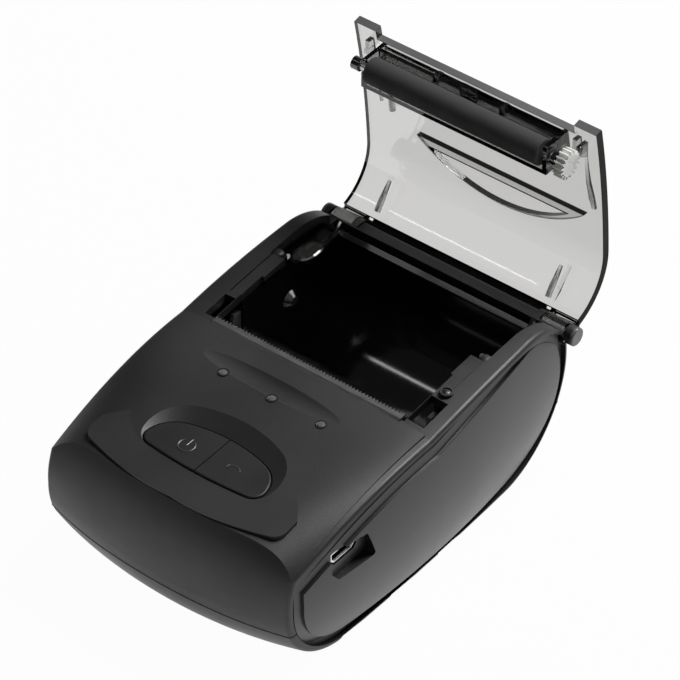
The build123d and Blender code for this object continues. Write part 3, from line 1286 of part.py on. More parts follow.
def retaining_clip():
    """The open ring that keeps the roller from sliding sideways."""
    x0 = HOLDER_HALF + HOLDER_GAP / 2
    ring = rod_x(x0, x0 + CLIP_THICK, ROLLER_Y, ROLLER_Z, BUSH_RADIUS + HOLDER_GAP)
    ring -= rod_x(x0, x0 + CLIP_THICK, ROLLER_Y, ROLLER_Z, SHAFT_RADIUS)
    return ring - block(x0, x0 + CLIP_THICK, ROLLER_Y - 2 * BUSH_RADIUS, ROLLER_Y,
                        ROLLER_Z - HOLDER_GAP, ROLLER_Z + HOLDER_GAP)


def main():
    os.makedirs("parts", exist_ok=True)
    skin = casing_skin()
    write("top_shell", top_shell(skin))
    write("bottom_shell", bottom_shell(skin))
    panel = side_panel()
    write("side_panel_left", mirror(panel, about=Plane.YZ))
    write("side_panel_right", panel - port_outline(port_floor(), SIDE_CROWN_X + WALL, 0)
          - socket_body(PANEL_GAP, INNER_HALF - WALL, SIDE_CROWN_X + WALL))
    write("tear_bar", tear_bar())
    strip = latch_strip()
    write("latch_strip_left", mirror(strip, about=Plane.YZ))
    write("latch_strip_right", strip)
    write("paper_cradle", paper_cradle())
    write("roll_supports", roll_supports())
    write("battery_door", battery_door())
    write("battery_pack", battery_pack())
    write("contact_block", contact_block())
    write("battery_contacts", battery_contacts())
    write("main_board", main_board())
    write("usb_socket", usb_socket())
    write("switch_housings", switch_housings())
    write("status_leds", status_leds())
    write("light_pipes", light_pipes())
    write("radio_module", radio_module())
    write("buzzer", buzzer())
    write("power_button", button(-1))
    write("power_plunger", switch_plunger(-BUTTON_STEM_X))
    write("feed_button", button(1))
    write("feed_plunger", switch_plunger(BUTTON_STEM_X))
    write("print_frame", print_frame())
    write("print_head", print_head())
    write("head_heatsink", head_heatsink())
    write("head_springs", head_springs())
    write("head_cable", head_cable())
    write("paper_sensor", paper_sensor())
    write("stepper_motor", stepper_motor())
    write("motor_shaft", motor_shaft())
    write("motor_pinion", motor_pinion())
    write("reduction_gear", reduction_gear())
    write("drive_gear", drive_gear())
    write("gear_axles", gear_axles())
    pin = hinge_pin()
    write("hinge_pin_left", mirror(pin, about=Plane.YZ))
    write("hinge_pin_right", pin)
    write("cover_shell", cover_shell())
    write("roller_holder", roller_holder())
    write("platen_shaft", platen_shaft())
    write("platen_rubber", platen_rubber())
    write("platen_gear", platen_gear())
    write("bush_left", bush(-1))
    write("bush_right", bush(1))
    write("retaining_clip", retaining_clip())
    write("case_screws", case_screws())
    write("board_screws", board_screws())
    write("mechanism_screws", mechanism_screws())


main()
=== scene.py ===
import json
import math

import bmesh
import bpy
from mathutils import Matrix, Vector

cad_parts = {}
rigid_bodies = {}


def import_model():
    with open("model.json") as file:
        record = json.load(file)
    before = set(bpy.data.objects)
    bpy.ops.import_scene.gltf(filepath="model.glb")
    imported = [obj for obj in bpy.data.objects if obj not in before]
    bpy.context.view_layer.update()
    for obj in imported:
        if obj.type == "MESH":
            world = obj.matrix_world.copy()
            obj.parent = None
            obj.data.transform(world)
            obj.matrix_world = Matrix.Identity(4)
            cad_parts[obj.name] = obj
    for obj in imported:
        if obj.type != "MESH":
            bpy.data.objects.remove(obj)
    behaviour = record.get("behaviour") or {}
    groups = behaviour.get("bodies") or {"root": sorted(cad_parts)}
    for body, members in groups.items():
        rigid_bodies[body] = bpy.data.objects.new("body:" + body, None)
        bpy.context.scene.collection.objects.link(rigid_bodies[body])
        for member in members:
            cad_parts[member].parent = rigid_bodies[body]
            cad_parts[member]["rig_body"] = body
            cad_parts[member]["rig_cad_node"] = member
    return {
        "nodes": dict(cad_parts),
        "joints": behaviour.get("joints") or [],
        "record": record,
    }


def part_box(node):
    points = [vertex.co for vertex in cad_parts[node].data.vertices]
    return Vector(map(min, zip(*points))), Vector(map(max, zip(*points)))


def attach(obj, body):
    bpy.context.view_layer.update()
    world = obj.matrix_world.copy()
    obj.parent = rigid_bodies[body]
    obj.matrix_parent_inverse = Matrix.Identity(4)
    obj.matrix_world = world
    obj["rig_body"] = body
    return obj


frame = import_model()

bl_info = {
    "name": "Pocket printer dressing",
    "version": (1, 0, 0),
    "blender": (4, 5, 0),
    "location": "3D View > Sidebar > Printer",
    "description": "Finishes, small trim, lights and camera for a pocket receipt printer",
    "category": "Object",
}

MM = 0.001
X, Y, Z = Vector((1, 0, 0)), Vector((0, 1, 0)), Vector((0, 0, 1))
SIDES = (("left", -1), ("right", 1))

SLOTS = {part["node"]: part["material_slot"] for part in frame["record"]["subparts"]}
JOINTS = {joint["name"]: joint for joint in frame["joints"]}
HINGE = Vector(JOINTS["cover_hinge"]["pos_m"])
ROLLER = Vector(JOINTS["platen_spin"]["pos_m"])

# Pieces whose finish differs from the one that their slot is named after.
OWN_FINISH = {
    "roller_holder": "smoke_trough",
    "tear_bar": "tear_steel",
    # The latch strips get a grey lighter than the casing as painted light; the print head has the same
    # grey as its own colour.
    "latch_strip_left": "strip_painted_light_head_grey",
    "latch_strip_right": "strip_painted_light_head_grey",
    "head_heatsink": "black_metal",
    "print_head": "strip_painted_light_head_grey",
}

# Places on the casing, in millimetres.
POWER_MARK = (-6.9, -35.6)
FEED_MARK = (7.0, -36.2)
PIPE_FOOT = 1.75
RAIL_SCREW = (31.9, 14.0, 42.35)
BOWL_CENTRE = (42.2, 47.0)
BOWL_RADIUS = 13.0
BOWL_LIP = 29.9
BOWL_STOP = (31.8, 29.6, 41.6)

# Places on the open cover, in millimetres. The guard's free edge runs from its top down, and
# the fins' stations are (y, z) on the cover and (y, z) at the free edge, from the foot up.
BEARING = 28.0
BARREL = 2.5
FOOT = 4.8
GRIP_LOW, GRIP_HIGH, GRIP_BACK, GRIP_MIDDLE, GRIP_HALF = 47.5, 59.0, 72.7, 4.4, 26.0
GUARD = ((33.0, 62.8, 86.0), (32.8, 63.2, 84.0), (32.6, 64.4, 82.2), (32.4, 67.4, 80.4),
         (32.5, 67.7, 76.5), (32.9, 67.8, 72.0), (33.7, 68.0, 67.5), (34.2, 68.8, 64.0))
FIN = 26.5
FIN_STATIONS = (((62.9, 35.9), (61.5, 37.2)), ((65.2, 39.0), (63.4, 39.9)),
                ((67.6, 43.2), (67.3, 43.4)))
LINER_MIDDLE = 6.0
PEG_DEPTH = 68.0
PEGS = {"short_peg": (-29.8, 0.5, 66.9, 71.0), "long_peg": (-26.4, 0.85, 65.4, 72.6)}

# How near two points have to be to count as one, in metres.
SAME = 0.002 * MM


def length(name, description, default):
    return bpy.props.FloatProperty(name=name, description=description, default=default,
                                   unit="LENGTH", subtype="DISTANCE", precision=5)


def share(name, description, default):
    return bpy.props.FloatProperty(name=name, description=description, default=default,
                                   min=0.0, max=1.0, subtype="FACTOR")


def colour(name, description, default):
    return bpy.props.FloatVectorProperty(name=name, description=description, default=default,
                                         size=3, min=0.0, max=1.0, subtype="COLOR")


def amount(name, description, default, unit="NONE"):
    return bpy.props.FloatProperty(name=name, description=description, default=default,
                                   min=0.0, unit=unit)


class FinishSettings(bpy.types.PropertyGroup):
    casing: colour("Casing", "Moulded casing plastic", (0.0095, 0.0093, 0.0095))
    casing_rough: share("Casing roughness", "Roughness of the textured casing", 0.5)
    side: colour("Side panels", "Satin plastic of the side panels", (0.016, 0.016, 0.017))
    bay: colour("Paper bay", "Polished plastic of the paper bay", (0.004, 0.004, 0.0045))
    smoke: colour("Cover", "Tint of the clear cover", (0.62, 0.615, 0.605))
    trough: colour("Trough", "Tint of the clear trough behind the roller", (0.62, 0.62, 0.62))
    smoke_density: amount("Cover density", "How strongly the cover's plastic darkens light", 470.0)
    trough_density: amount("Trough density", "How strongly the trough's plastic darkens light", 1500.0)
    grain: length("Grain", "Size of one grain of the moulded texture", 0.35 * MM)


class TrimSettings(bpy.types.PropertyGroup):
    mark_radius: length("Mark radius", "Outer radius of the power mark", 2.1 * MM)
    mark_line: length("Mark line", "Half thickness of the marks' lines", 0.17 * MM)
    seam_line: length("Seam", "Half width of the parting line between the shells", 0.12 * MM)
    lens_radius: length("Lens radius", "Radius of a status lens", 1.05 * MM)
    lens_rise: length("Lens rise", "How far a status lens stands above its hole", 0.3 * MM)
    collar_rise: length("Collar rise", "How far the collar round a lens stands up", 0.16 * MM)
    lip_radius: length("Bowl lip", "Radius of the bead along a side bowl's edge", 0.75 * MM)
    # The skins paint shade on the cover's edges, grip, foot and barrels, and paint light on its top
    # edge.
    skin: length("Edge skin", "Thickness of the dark skins on the cover", 0.15 * MM)
    guard: length("Gear guard", "Thickness of the guard beside the gear", 1.1 * MM)
    fin: length("Rib fin", "Thickness of the fins near the cover's foot", 1.0 * MM)
    liner: length("Trough liner", "Thickness of the liner behind the roller", 0.5 * MM)


class StageSettings(bpy.types.PropertyGroup):
    floor: colour("Floor", "Colour of the floor and backdrop", (0.5, 0.5, 0.5))
    floor_white: share("Floor seen", "How much of the floor's white the camera sees", 0.97)
    floor_shine: amount("Floor in reflections", "Brightness of the floor in reflections", 1.2)
    key_power: amount("Key light", "Power of the strip light from the left front", 0.11, "POWER")
    fill_power: amount("Fill light", "Power of the small light from the front", 0.25, "POWER")
    rear_power: amount("Rear light", "Power of the main light from above the rear", 10.0, "POWER")
    surround: share("Surroundings", "Brightness of the room in reflections", 0.05)
    lens: amount("Focal length", "Focal length of the camera in millimetres", 229.1, "CAMERA")


def mm(*values):
    """A point given in millimetres."""
    return Vector(values) * MM


def profile_mm(*pairs):
    """A turned outline given in millimetres, as pairs of place along the axis and radius."""
    return [(along * MM, radius * MM) for along, radius in pairs]


def arc(centre, radius, start, end, across, up, steps):
    """Points of an arc, with its angles in degrees from one direction towards another."""
    turns = [math.radians(start + (end - start) * step / steps) for step in range(steps + 1)]
    return [centre + (across * math.cos(turn) + up * math.sin(turn)) * radius for turn in turns]


def only(obj):
    """Selects one object alone and makes it active."""
    bpy.ops.object.select_all(action="DESELECT")
    obj.select_set(True)
    bpy.context.view_layer.objects.active = obj


def settle(obj, name, material, body, angle=35.0):
    """Applies modifiers and placement, smooths, names, finishes and attaches a piece."""
    only(obj)
    if obj.type != "MESH":
        bpy.ops.object.convert(target="MESH")
        obj = bpy.context.view_layer.objects.active
    obj.name = name
    for modifier in list(obj.modifiers):
        bpy.ops.object.modifier_apply(modifier=modifier.name)
    bpy.ops.object.transform_apply(location=True, rotation=True, scale=True)
    bpy.ops.object.shade_smooth_by_angle(angle=math.radians(angle))
    obj.data.name = name
    obj.data.materials.clear()
    obj.data.materials.append(bpy.data.materials[material])
    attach(obj, body)
    return obj


def join(parts):
    """Makes one object of several."""
    only(parts[0])
    for part in parts:
        part.select_set(True)
    bpy.ops.object.join()
    return bpy.context.view_layer.objects.active


def blank_piece():
    """A new primitive at the origin, whose mesh the caller draws afresh."""
    bpy.ops.object.select_all(action="DESELECT")
    bpy.ops.mesh.primitive_plane_add(size=1.0, location=(0, 0, 0))
    return bpy.context.view_layer.objects.active


def lathe(profile, place, axis, steps=32):
    """A turned piece: points of (distance along the axis, radius) spun round it, in metres."""
    obj = blank_piece()
    edit = bmesh.new()
    dots = [edit.verts.new((radius, 0, along)) for along, radius in profile]
    for first, second in zip(dots, dots[1:]):
        edit.edges.new((first, second))
    edit.to_mesh(obj.data)
    edit.free()
    only(obj)
    bpy.ops.object.mode_set(mode="EDIT")
    bpy.ops.mesh.select_all(action="SELECT")
    bpy.ops.mesh.spin(steps=steps, angle=2 * math.pi, center=(0, 0, 0), axis=Z)
    bpy.ops.mesh.select_all(action="SELECT")
    bpy.ops.mesh.remove_doubles(threshold=0.005 * MM)
    bpy.ops.mesh.normals_make_consistent(inside=False)
    bpy.ops.object.mode_set(mode="OBJECT")
    turn = Z.rotation_difference(axis).to_matrix().to_4x4()
    obj.data.transform(Matrix.Translation(place) @ turn)
    return obj


def rod_line(points, radius):
    """A thin round line through points, in metres."""
    bpy.ops.object.select_all(action="DESELECT")
    bpy.ops.curve.primitive_nurbs_path_add(location=(0, 0, 0))
    obj = bpy.context.view_layer.objects.active
    curve = obj.data
    curve.splines.clear()
    spline = curve.splines.new("POLY")
    spline.points.add(len(points) - 1)
    for dot, place in zip(spline.points, points):
        dot.co = (*place, 1.0)
    curve.dimensions = "3D"
    curve.bevel_depth = radius
    curve.bevel_resolution = 2
    curve.use_fill_caps = True
    only(obj)
    bpy.ops.object.convert(target="MESH")
    return bpy.context.view_layer.objects.active


def strip(pairs, thick):
    """A curved strip between pairs of points, with its thickness and softened edges."""
    obj = blank_piece()
    edit = bmesh.new()
    rows = [[edit.verts.new(place) for place in pair] for pair in pairs]
    for low, high in zip(rows, rows[1:]):
        edit.faces.new((low[0], low[1], high[1], high[0]))
    edit.to_mesh(obj.data)
    edit.free()
    sheet = obj.modifiers.new("thickness", "SOLIDIFY")
    sheet.thickness = thick
    sheet.offset = 0.0
    edges = obj.modifiers.new("edges", "BEVEL")
    edges.width = thick / 5
    edges.segments = 2
    edges.limit_method = "ANGLE"
    return obj


def merged_copy(node):
    """A free copy of a CAD piece with its loose triangles merged."""
    only(frame["nodes"][node])
    bpy.ops.object.duplicate()
    obj = bpy.context.view_layer.objects.active
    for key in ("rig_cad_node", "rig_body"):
        if key in obj:
            del obj[key]
    obj.parent = None
    only(obj)
    bpy.ops.object.mode_set(mode="EDIT")
    bpy.ops.mesh.customdata_custom_splitnormals_clear()
    bpy.ops.mesh.select_all(action="SELECT")
    bpy.ops.mesh.remove_doubles(threshold=SAME)
    bpy.ops.object.mode_set(mode="OBJECT")
    return obj


def face_patch(node, name, chosen, thick, material):
    """A thin skin over the faces of a CAD piece whose middle and normal pass the test."""
    obj = merged_copy(node)
    edit = bmesh.new()
    edit.from_mesh(obj.data)
    out = [face for face in edit.faces if not chosen(face.calc_center_median(), face.normal)]
    if len(out) == len(edit.faces):
        raise RuntimeError("no face of " + node + " was found for " + name)
    bmesh.ops.delete(edit, geom=out, context="FACES")
    edit.to_mesh(obj.data)
    edit.free()
    skin = obj.modifiers.new("thickness", "SOLIDIFY")
    skin.thickness = thick
    skin.offset = 1.0
    return settle(obj, name, material, frame["nodes"][node]["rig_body"])


def inner_face(x, z):
    """How far back the open cover's inner face stands at a place across it and a height."""
    cover = frame["nodes"]["cover_shell"]
    into = cover.matrix_world.inverted()
    start = Vector((x, ROLLER.y - 20.0 * MM, z))
    hit, place, _, _ = cover.ray_cast(into @ start, into.to_3x3() @ Y)
    if not hit:
        raise RuntimeError("the cover's inner face wasn't found")
    return (cover.matrix_world @ place).y


def group_socket(tree, name, way, default=None):
    """Adds a number socket to a node group."""
    socket = tree.interface.new_socket(name=name, in_out=way, socket_type="NodeSocketFloat")
    if default is not None:
        socket.default_value = default


def add_noise(tree, vector, way_in, size, detail, roughness=0.5):
    """Noise on a vector, as fine as the group's named size, and the output that carries it."""
    per_metre = tree.nodes.new("ShaderNodeMath")
    per_metre.operation = "DIVIDE"
    per_metre.inputs[0].default_value = 1.0
    tree.links.new(way_in.outputs[size], per_metre.inputs[1])
    noise = tree.nodes.new("ShaderNodeTexNoise")
    noise.inputs["Detail"].default_value = detail
    noise.inputs["Roughness"].default_value = roughness
    tree.links.new(vector, noise.inputs["Vector"])
    tree.links.new(per_metre.outputs[0], noise.inputs["Scale"])
    return noise.outputs["Fac"]


def make_grain_group():
    """Moulded grain: a fine rounded relief, and slow patches of tone."""
    tree = bpy.data.node_groups.new("moulded_grain", "ShaderNodeTree")
    group_socket(tree, "Grain Size", "INPUT", 0.3 * MM)
    group_socket(tree, "Patch Size", "INPUT", 20.0 * MM)
    group_socket(tree, "Height", "OUTPUT")
    group_socket(tree, "Tone", "OUTPUT")
    way_in = tree.nodes.new("NodeGroupInput")
    way_out = tree.nodes.new("NodeGroupOutput")
    coords = tree.nodes.new("ShaderNodeTexCoord").outputs["Object"]
    for size, detail, target in (("Grain Size", 2.0, "Height"), ("Patch Size", 4.0, "Tone")):
        pattern = add_noise(tree, coords, way_in, size, detail, roughness=0.55)
        tree.links.new(pattern, way_out.inputs[target])


def make_brush_group():
    """Drawn metal: fine scratches along one way."""
    tree = bpy.data.node_groups.new("drawn_metal", "ShaderNodeTree")
    group_socket(tree, "Line Size", "INPUT", 0.2 * MM)
    group_socket(tree, "Scratches", "OUTPUT")
    way_in = tree.nodes.new("NodeGroupInput")
    way_out = tree.nodes.new("NodeGroupOutput")
    coords = tree.nodes.new("ShaderNodeTexCoord").outputs["Object"]
    stretch = tree.nodes.new("ShaderNodeMapping")
    stretch.inputs["Scale"].default_value = (0.04, 1.0, 1.0)
    tree.links.new(coords, stretch.inputs["Vector"])
    pattern = add_noise(tree, stretch.outputs["Vector"], way_in, "Line Size", detail=3.0)
    tree.links.new(pattern, way_out.inputs["Scratches"])


def blank_material(name):
    """A material with only a surface shader and an output."""
    material = bpy.data.materials.get(name) or bpy.data.materials.new(name)
    material.use_nodes = True
    nodes = material.node_tree.nodes
    nodes.clear()
    shader = nodes.new("ShaderNodeBsdfPrincipled")
    out = nodes.new("ShaderNodeOutputMaterial")
    material.node_tree.links.new(shader.outputs["BSDF"], out.inputs["Surface"])
    return material, shader, out


def place_pattern(material, group, **sizes):
    """Places a node group in a material, with the sizes of its own."""
    pattern = material.node_tree.nodes.new("ShaderNodeGroup")
    pattern.node_tree = bpy.data.node_groups[group]
    for name, size in sizes.items():
        pattern.inputs[name.replace("_", " ").title()].default_value = size
    return pattern


def emboss(material, height, shader, strength, distance):
    """Turns a pattern into relief on the surface."""
    relief = material.node_tree.nodes.new("ShaderNodeBump")
    relief.inputs["Strength"].default_value = strength
    relief.inputs["Distance"].default_value = distance
    material.node_tree.links.new(height, relief.inputs["Height"])
    material.node_tree.links.new(relief.outputs["Normal"], shader.inputs["Normal"])


def vary(material, source, shader, socket, low, high):
    """Feeds a number socket from a pattern, between two values."""
    spread = material.node_tree.nodes.new("ShaderNodeMapRange")
    spread.inputs["From Min"].default_value = 0.3
    spread.inputs["From Max"].default_value = 0.7
    spread.inputs["To Min"].default_value = low
    spread.inputs["To Max"].default_value = high
    material.node_tree.links.new(source, spread.inputs["Value"])
    material.node_tree.links.new(spread.outputs["Result"], shader.inputs[socket])


def tint(material, source, shader, colour_value, spread):
    """Feeds the base colour from a pattern, a little darker to a little lighter."""
    ramp = material.node_tree.nodes.new("ShaderNodeValToRGB")
    ramp.color_ramp.elements[0].position = 0.3
    ramp.color_ramp.elements[1].position = 0.7
    for element, gain in zip(ramp.color_ramp.elements, (1.0 - spread, 1.0 + spread)):
        element.color = [min(1.0, part * gain) for part in colour_value] + [1.0]
    material.node_tree.links.new(source, ramp.inputs["Fac"])
    material.node_tree.links.new(ramp.outputs["Color"], shader.inputs["Base Color"])


def moulded(name, colour_value, rough, grain, depth, spread=0.12, patch=20.0 * MM, strength=0.35,
            specular=None):
    """Moulded plastic with a fine grain and slow patches of tone and gloss."""
    material, shader, _ = blank_material(name)
    pattern = place_pattern(material, "moulded_grain", grain_size=grain, patch_size=patch)
    emboss(material, pattern.outputs["Height"], shader, strength, depth)
    tone = pattern.outputs["Tone"]
    tint(material, tone, shader, colour_value, spread)
    vary(material, tone, shader, "Roughness", rough * 0.88, min(1.0, rough * 1.12))
    if specular is not None:
        shader.inputs["Specular IOR Level"].default_value = specular


def metal(name, colour_value, rough):
    """Bare or plated metal with drawn lines."""
    material, shader, _ = blank_material(name)
    shader.inputs["Metallic"].default_value = 1.0
    pattern = place_pattern(material, "drawn_metal", line_size=0.2 * MM)
    scratches = pattern.outputs["Scratches"]
    emboss(material, scratches, shader, 0.12, 0.02 * MM)
    tint(material, scratches, shader, colour_value, 0.1)
    vary(material, scratches, shader, "Roughness", rough * 0.8, rough * 1.2)


def clear_plastic(name, tint_value, density):
    """Clear smoked plastic, darker where light passes through more of it."""
    material, shader, out = blank_material(name)
    shader.inputs["Transmission Weight"].default_value = 1.0
    shader.inputs["IOR"].default_value = 1.49
    shader.inputs["Specular IOR Level"].default_value = 0.03
    pattern = place_pattern(material, "moulded_grain", grain_size=4.0 * MM, patch_size=30.0 * MM)
    tint(material, pattern.outputs["Tone"], shader, (0.97, 0.97, 0.965), 0.01)
    vary(material, pattern.outputs["Height"], shader, "Roughness", 0.015, 0.045)
    smoke = material.node_tree.nodes.new("ShaderNodeVolumeAbsorption")
    smoke.inputs["Color"].default_value = (*tint_value, 1.0)
    smoke.inputs["Density"].default_value = density
    material.node_tree.links.new(smoke.outputs["Volume"], out.inputs["Volume"])


class PRINTER_OT_finishes(bpy.types.Operator):
    """Makes every finish and gives it to the pieces that have it"""
    bl_idname = "printer.finishes"
    bl_label = "Finishes"

    def execute(self, context):
        chosen = context.scene.printer_finishes
        grain = chosen.grain
        make_grain_group()
        make_brush_group()
        moulded("black_casing", chosen.casing, chosen.casing_rough, grain, 0.06 * MM,
                spread=0.1, patch=30.0 * MM, strength=0.5)
        moulded("side_black", chosen.side, 0.36, grain * 1.6, 0.02 * MM,
                spread=0.08, patch=40.0 * MM, strength=0.2)
        moulded("bay_black", chosen.bay, 0.12, grain * 6, 0.01 * MM,
                spread=0.1, strength=0.1, specular=1.0)
        moulded("button_black", chosen.casing, 0.5, grain, 0.05 * MM,
                spread=0.1, strength=0.4, specular=0.3)
        # A grey lighter than the casing: painted light on the latch strips, the print head's own
        # colour.
        moulded("strip_painted_light_head_grey", (0.022, 0.022, 0.0225), 0.42, grain, 0.04 * MM)
        # Near-black skin finish: painted shade on the cover's cut edges, finger grip and foot.
        moulded("edge_painted_shade", (0.006, 0.006, 0.006), 0.6, grain, 0.01 * MM, specular=0.1)
        # Grey skin finish: painted light on the cover's top edge.
        moulded("edge_painted_light", (0.07, 0.07, 0.07), 0.5, grain, 0.01 * MM)
        moulded("seam_black", (0.002, 0.002, 0.002), 0.9, grain, 0.03 * MM)
        moulded("mark_grey", (0.05, 0.05, 0.052), 0.35, grain, 0.02 * MM)
        moulded("grey_pin", (0.09, 0.09, 0.095), 0.3, grain, 0.03 * MM)
        moulded("lens_white", (0.62, 0.64, 0.62), 0.2, 0.6 * MM, 0.02 * MM, spread=0.06)
        moulded("lens_grey", (0.1, 0.1, 0.103), 0.16, 0.6 * MM, 0.02 * MM, spread=0.15)
        moulded("white_gear", (0.78, 0.78, 0.75), 0.4, 0.5 * MM, 0.03 * MM, spread=0.05)
        moulded("roller_rubber", (0.022, 0.022, 0.023), 0.82, 0.22 * MM, 0.08 * MM,
                spread=0.25, patch=4.0 * MM, strength=0.6)
        moulded("battery_wrap", (0.05, 0.06, 0.09), 0.35, 2.0 * MM, 0.04 * MM)
        moulded("board_green", (0.012, 0.07, 0.03), 0.3, 3.0 * MM, 0.03 * MM, spread=0.25)
        moulded("head_ceramic", (0.16, 0.1, 0.06), 0.15, 0.8 * MM, 0.01 * MM)
        moulded("cable_amber", (0.5, 0.26, 0.05), 0.3, 1.0 * MM, 0.02 * MM)
        metal("black_metal", (0.06, 0.06, 0.062), 0.42)
        metal("tear_steel", (0.11, 0.11, 0.112), 0.5)
        metal("bright_metal", (0.62, 0.62, 0.63), 0.18)
        metal("steel_sheet", (0.42, 0.42, 0.43), 0.34)
        metal("brass_leaf", (0.6, 0.43, 0.18), 0.28)
        metal("head_alloy", (0.55, 0.55, 0.56), 0.3)
        clear_plastic("smoke_clear", chosen.smoke, chosen.smoke_density)
        clear_plastic("smoke_trough", chosen.trough, chosen.trough_density)
        # Smoke of twice the density, painting shade on the cover's barrels.
        clear_plastic("smoke_painted_shade", chosen.trough, chosen.trough_density * 2)
        for name, obj in frame["nodes"].items():
            for slot in obj.material_slots:
                slot.material = bpy.data.materials[OWN_FINISH.get(name, SLOTS[name])]
        return {"FINISHED"}


class PRINTER_OT_status_lenses(bpy.types.Operator):
    """Turns the three domed status lenses and their dark collars"""
    bl_idname = "printer.status_lenses"
    bl_label = "Status lenses"

    def execute(self, context):
        trim = context.scene.printer_trim
        low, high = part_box("light_pipes")
        pitch = (high.x - low.x) / 2 - PIPE_FOOT * MM
        radius, rise = trim.lens_radius, trim.lens_rise
        dome = [(0, radius), (rise * 0.55, radius * 0.88), (rise * 0.9, radius * 0.5), (rise, 0)]
        inner, outer = radius + 0.02 * MM, radius + 0.48 * MM
        top, foot = trim.collar_rise, -trim.collar_rise
        ring = [(foot, inner), (top, inner + 0.03 * MM), (top, outer - 0.08 * MM),
                (foot, outer), (foot, inner)]
        for number, column in enumerate((-1, 0, 1), 1):
            place = Vector((column * pitch, (low.y + high.y) / 2, high.z))
            lens = lathe(dome, place, Z)
            settle(lens, f"status_lens_{number}", "lens_grey", "casing")
            collar = lathe(ring, place, Z)
            settle(collar, f"status_collar_{number}", "seam_black", "casing")
        return {"FINISHED"}


class PRINTER_OT_button_marks(bpy.types.Operator):
    """Raises a power mark on the left button and a feed arrow on the right one"""
    bl_idname = "printer.button_marks"
    bl_label = "Button marks"

    def execute(self, context):
        trim = context.scene.printer_trim
        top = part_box("power_button")[1].z / MM
        centre = mm(*POWER_MARK, top)
        ring = rod_line(arc(centre, trim.mark_radius, 34, 326, Y, X, 28), trim.mark_line)
        bar = rod_line([centre, centre + Y * trim.mark_radius * 1.15], trim.mark_line)
        settle(join([ring, bar]), "power_mark", "mark_grey", "power_key")
        bow = arc(mm(*FEED_MARK, top), trim.mark_radius, 30, 160, X, Y, 20)
        tips = [bow[-1] + mm(1.0, -0.1, 0), bow[-1], bow[-1] + mm(0.25, 1.0, 0)]
        arrow = join([rod_line(bow, trim.mark_line), rod_line(tips, trim.mark_line)])
        settle(arrow, "feed_mark", "mark_grey", "feed_key")
        return {"FINISHED"}


class PRINTER_OT_seam(bpy.types.Operator):
    """Lays the dark parting line between the two casing shells"""
    bl_idname = "printer.seam"
    bl_label = "Parting line"

    def execute(self, context):
        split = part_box("bottom_shell")[1].z

        def on_outer_rim(edge):
            if any(abs(dot.co.z - split) >= 0.01 * MM for dot in edge.verts):
                return False
            middle = (edge.verts[0].co + edge.verts[1].co) / 2
            return any(face.normal.z < 0.5 and face.normal.xy.dot(middle.xy) > 0
                       for face in edge.link_faces)

        obj = merged_copy("bottom_shell")
        edit = bmesh.new()
        edit.from_mesh(obj.data)
        rim = {edge for edge in edit.edges if on_outer_rim(edge)}
        if not rim:
            raise RuntimeError("the bottom shell's rim wasn't found")
        rest = [edge for edge in edit.edges if edge not in rim]
        bmesh.ops.delete(edit, geom=rest, context="EDGES")
        loose = [dot for dot in edit.verts if not dot.link_edges]
        bmesh.ops.delete(edit, geom=loose, context="VERTS")
        edit.to_mesh(obj.data)
        edit.free()
        bpy.ops.object.convert(target="CURVE")
        line = bpy.context.view_layer.objects.active
        line.data.bevel_depth = context.scene.printer_trim.seam_line
        line.data.bevel_resolution = 1
        settle(line, "parting_line", "seam_black", "casing")
        return {"FINISHED"}


class PRINTER_OT_rail_screw(bpy.types.Operator):
    """Turns the screw on the right rail and the raised seat round it"""
    bl_idname = "printer.rail_screw"
    bl_label = "Rail screw"

    def execute(self, context):
        place = mm(*RAIL_SCREW)
        seat = profile_mm((-0.3, 1.75), (0.0, 1.75), (0.12, 1.6), (0.12, 1.25), (-0.2, 1.15),
                          (-0.2, 0.0))
        settle(lathe(seat, place, Z), "rail_screw_seat", "black_casing", "casing")
        head = profile_mm((-0.35, 1.0), (-0.1, 0.95), (0.04, 0.7), (0.06, 0.0))
        settle(lathe(head, place, Z), "rail_screw_head", "black_metal", "casing")
        return {"FINISHED"}


class PRINTER_OT_bowl_edges(bpy.types.Operator):
    """Rounds the edges of the paper bay's side bowls and adds the small stops beside them"""
    bl_idname = "printer.bowl_edges"
    bl_label = "Bowl edges"

    def execute(self, context):
        trim = context.scene.printer_trim
        for label, side in SIDES:
            centre = mm(side * BOWL_LIP, *BOWL_CENTRE)
            bead = rod_line(arc(centre, BOWL_RADIUS * MM, 208, 318, Y, Z, 16), trim.lip_radius)
            settle(bead, "bowl_lip_" + label, "bay_black", "casing")
        knob = profile_mm((-1.2, 1.5), (0.0, 1.5), (0.45, 1.3), (0.7, 0.8), (0.78, 0.0))
        for label, side in SIDES:
            stop = lathe(knob, mm(side * BOWL_STOP[0], *BOWL_STOP[1:]), Z)
            settle(stop, "bowl_stop_" + label, "black_casing", "casing")
        return {"FINISHED"}


class PRINTER_OT_gear_side(bpy.types.Operator):
    """Adds the dome on the roller's right bearing and the curved guard beside its gear"""
    bl_idname = "printer.gear_side"
    bl_label = "Bearing dome and gear guard"

    def execute(self, context):
        dome = profile_mm((0.0, 1.5), (0.5, 1.45), (0.9, 1.0), (1.05, 0.0))
        cap = lathe(dome, Vector((BEARING * MM, ROLLER.y, ROLLER.z)), X)
        settle(cap, "bearing_dome", "lens_white", "cover")
        sunk = 0.3 * MM
        edges = []
        for free in (mm(*place) for place in GUARD):
            edges.append((free, Vector((free.x, inner_face(free.x, free.z) + sunk, free.z))))
        guard = strip(edges, context.scene.printer_trim.guard)
        settle(guard, "gear_guard", "smoke_trough", "cover")
        return {"FINISHED"}


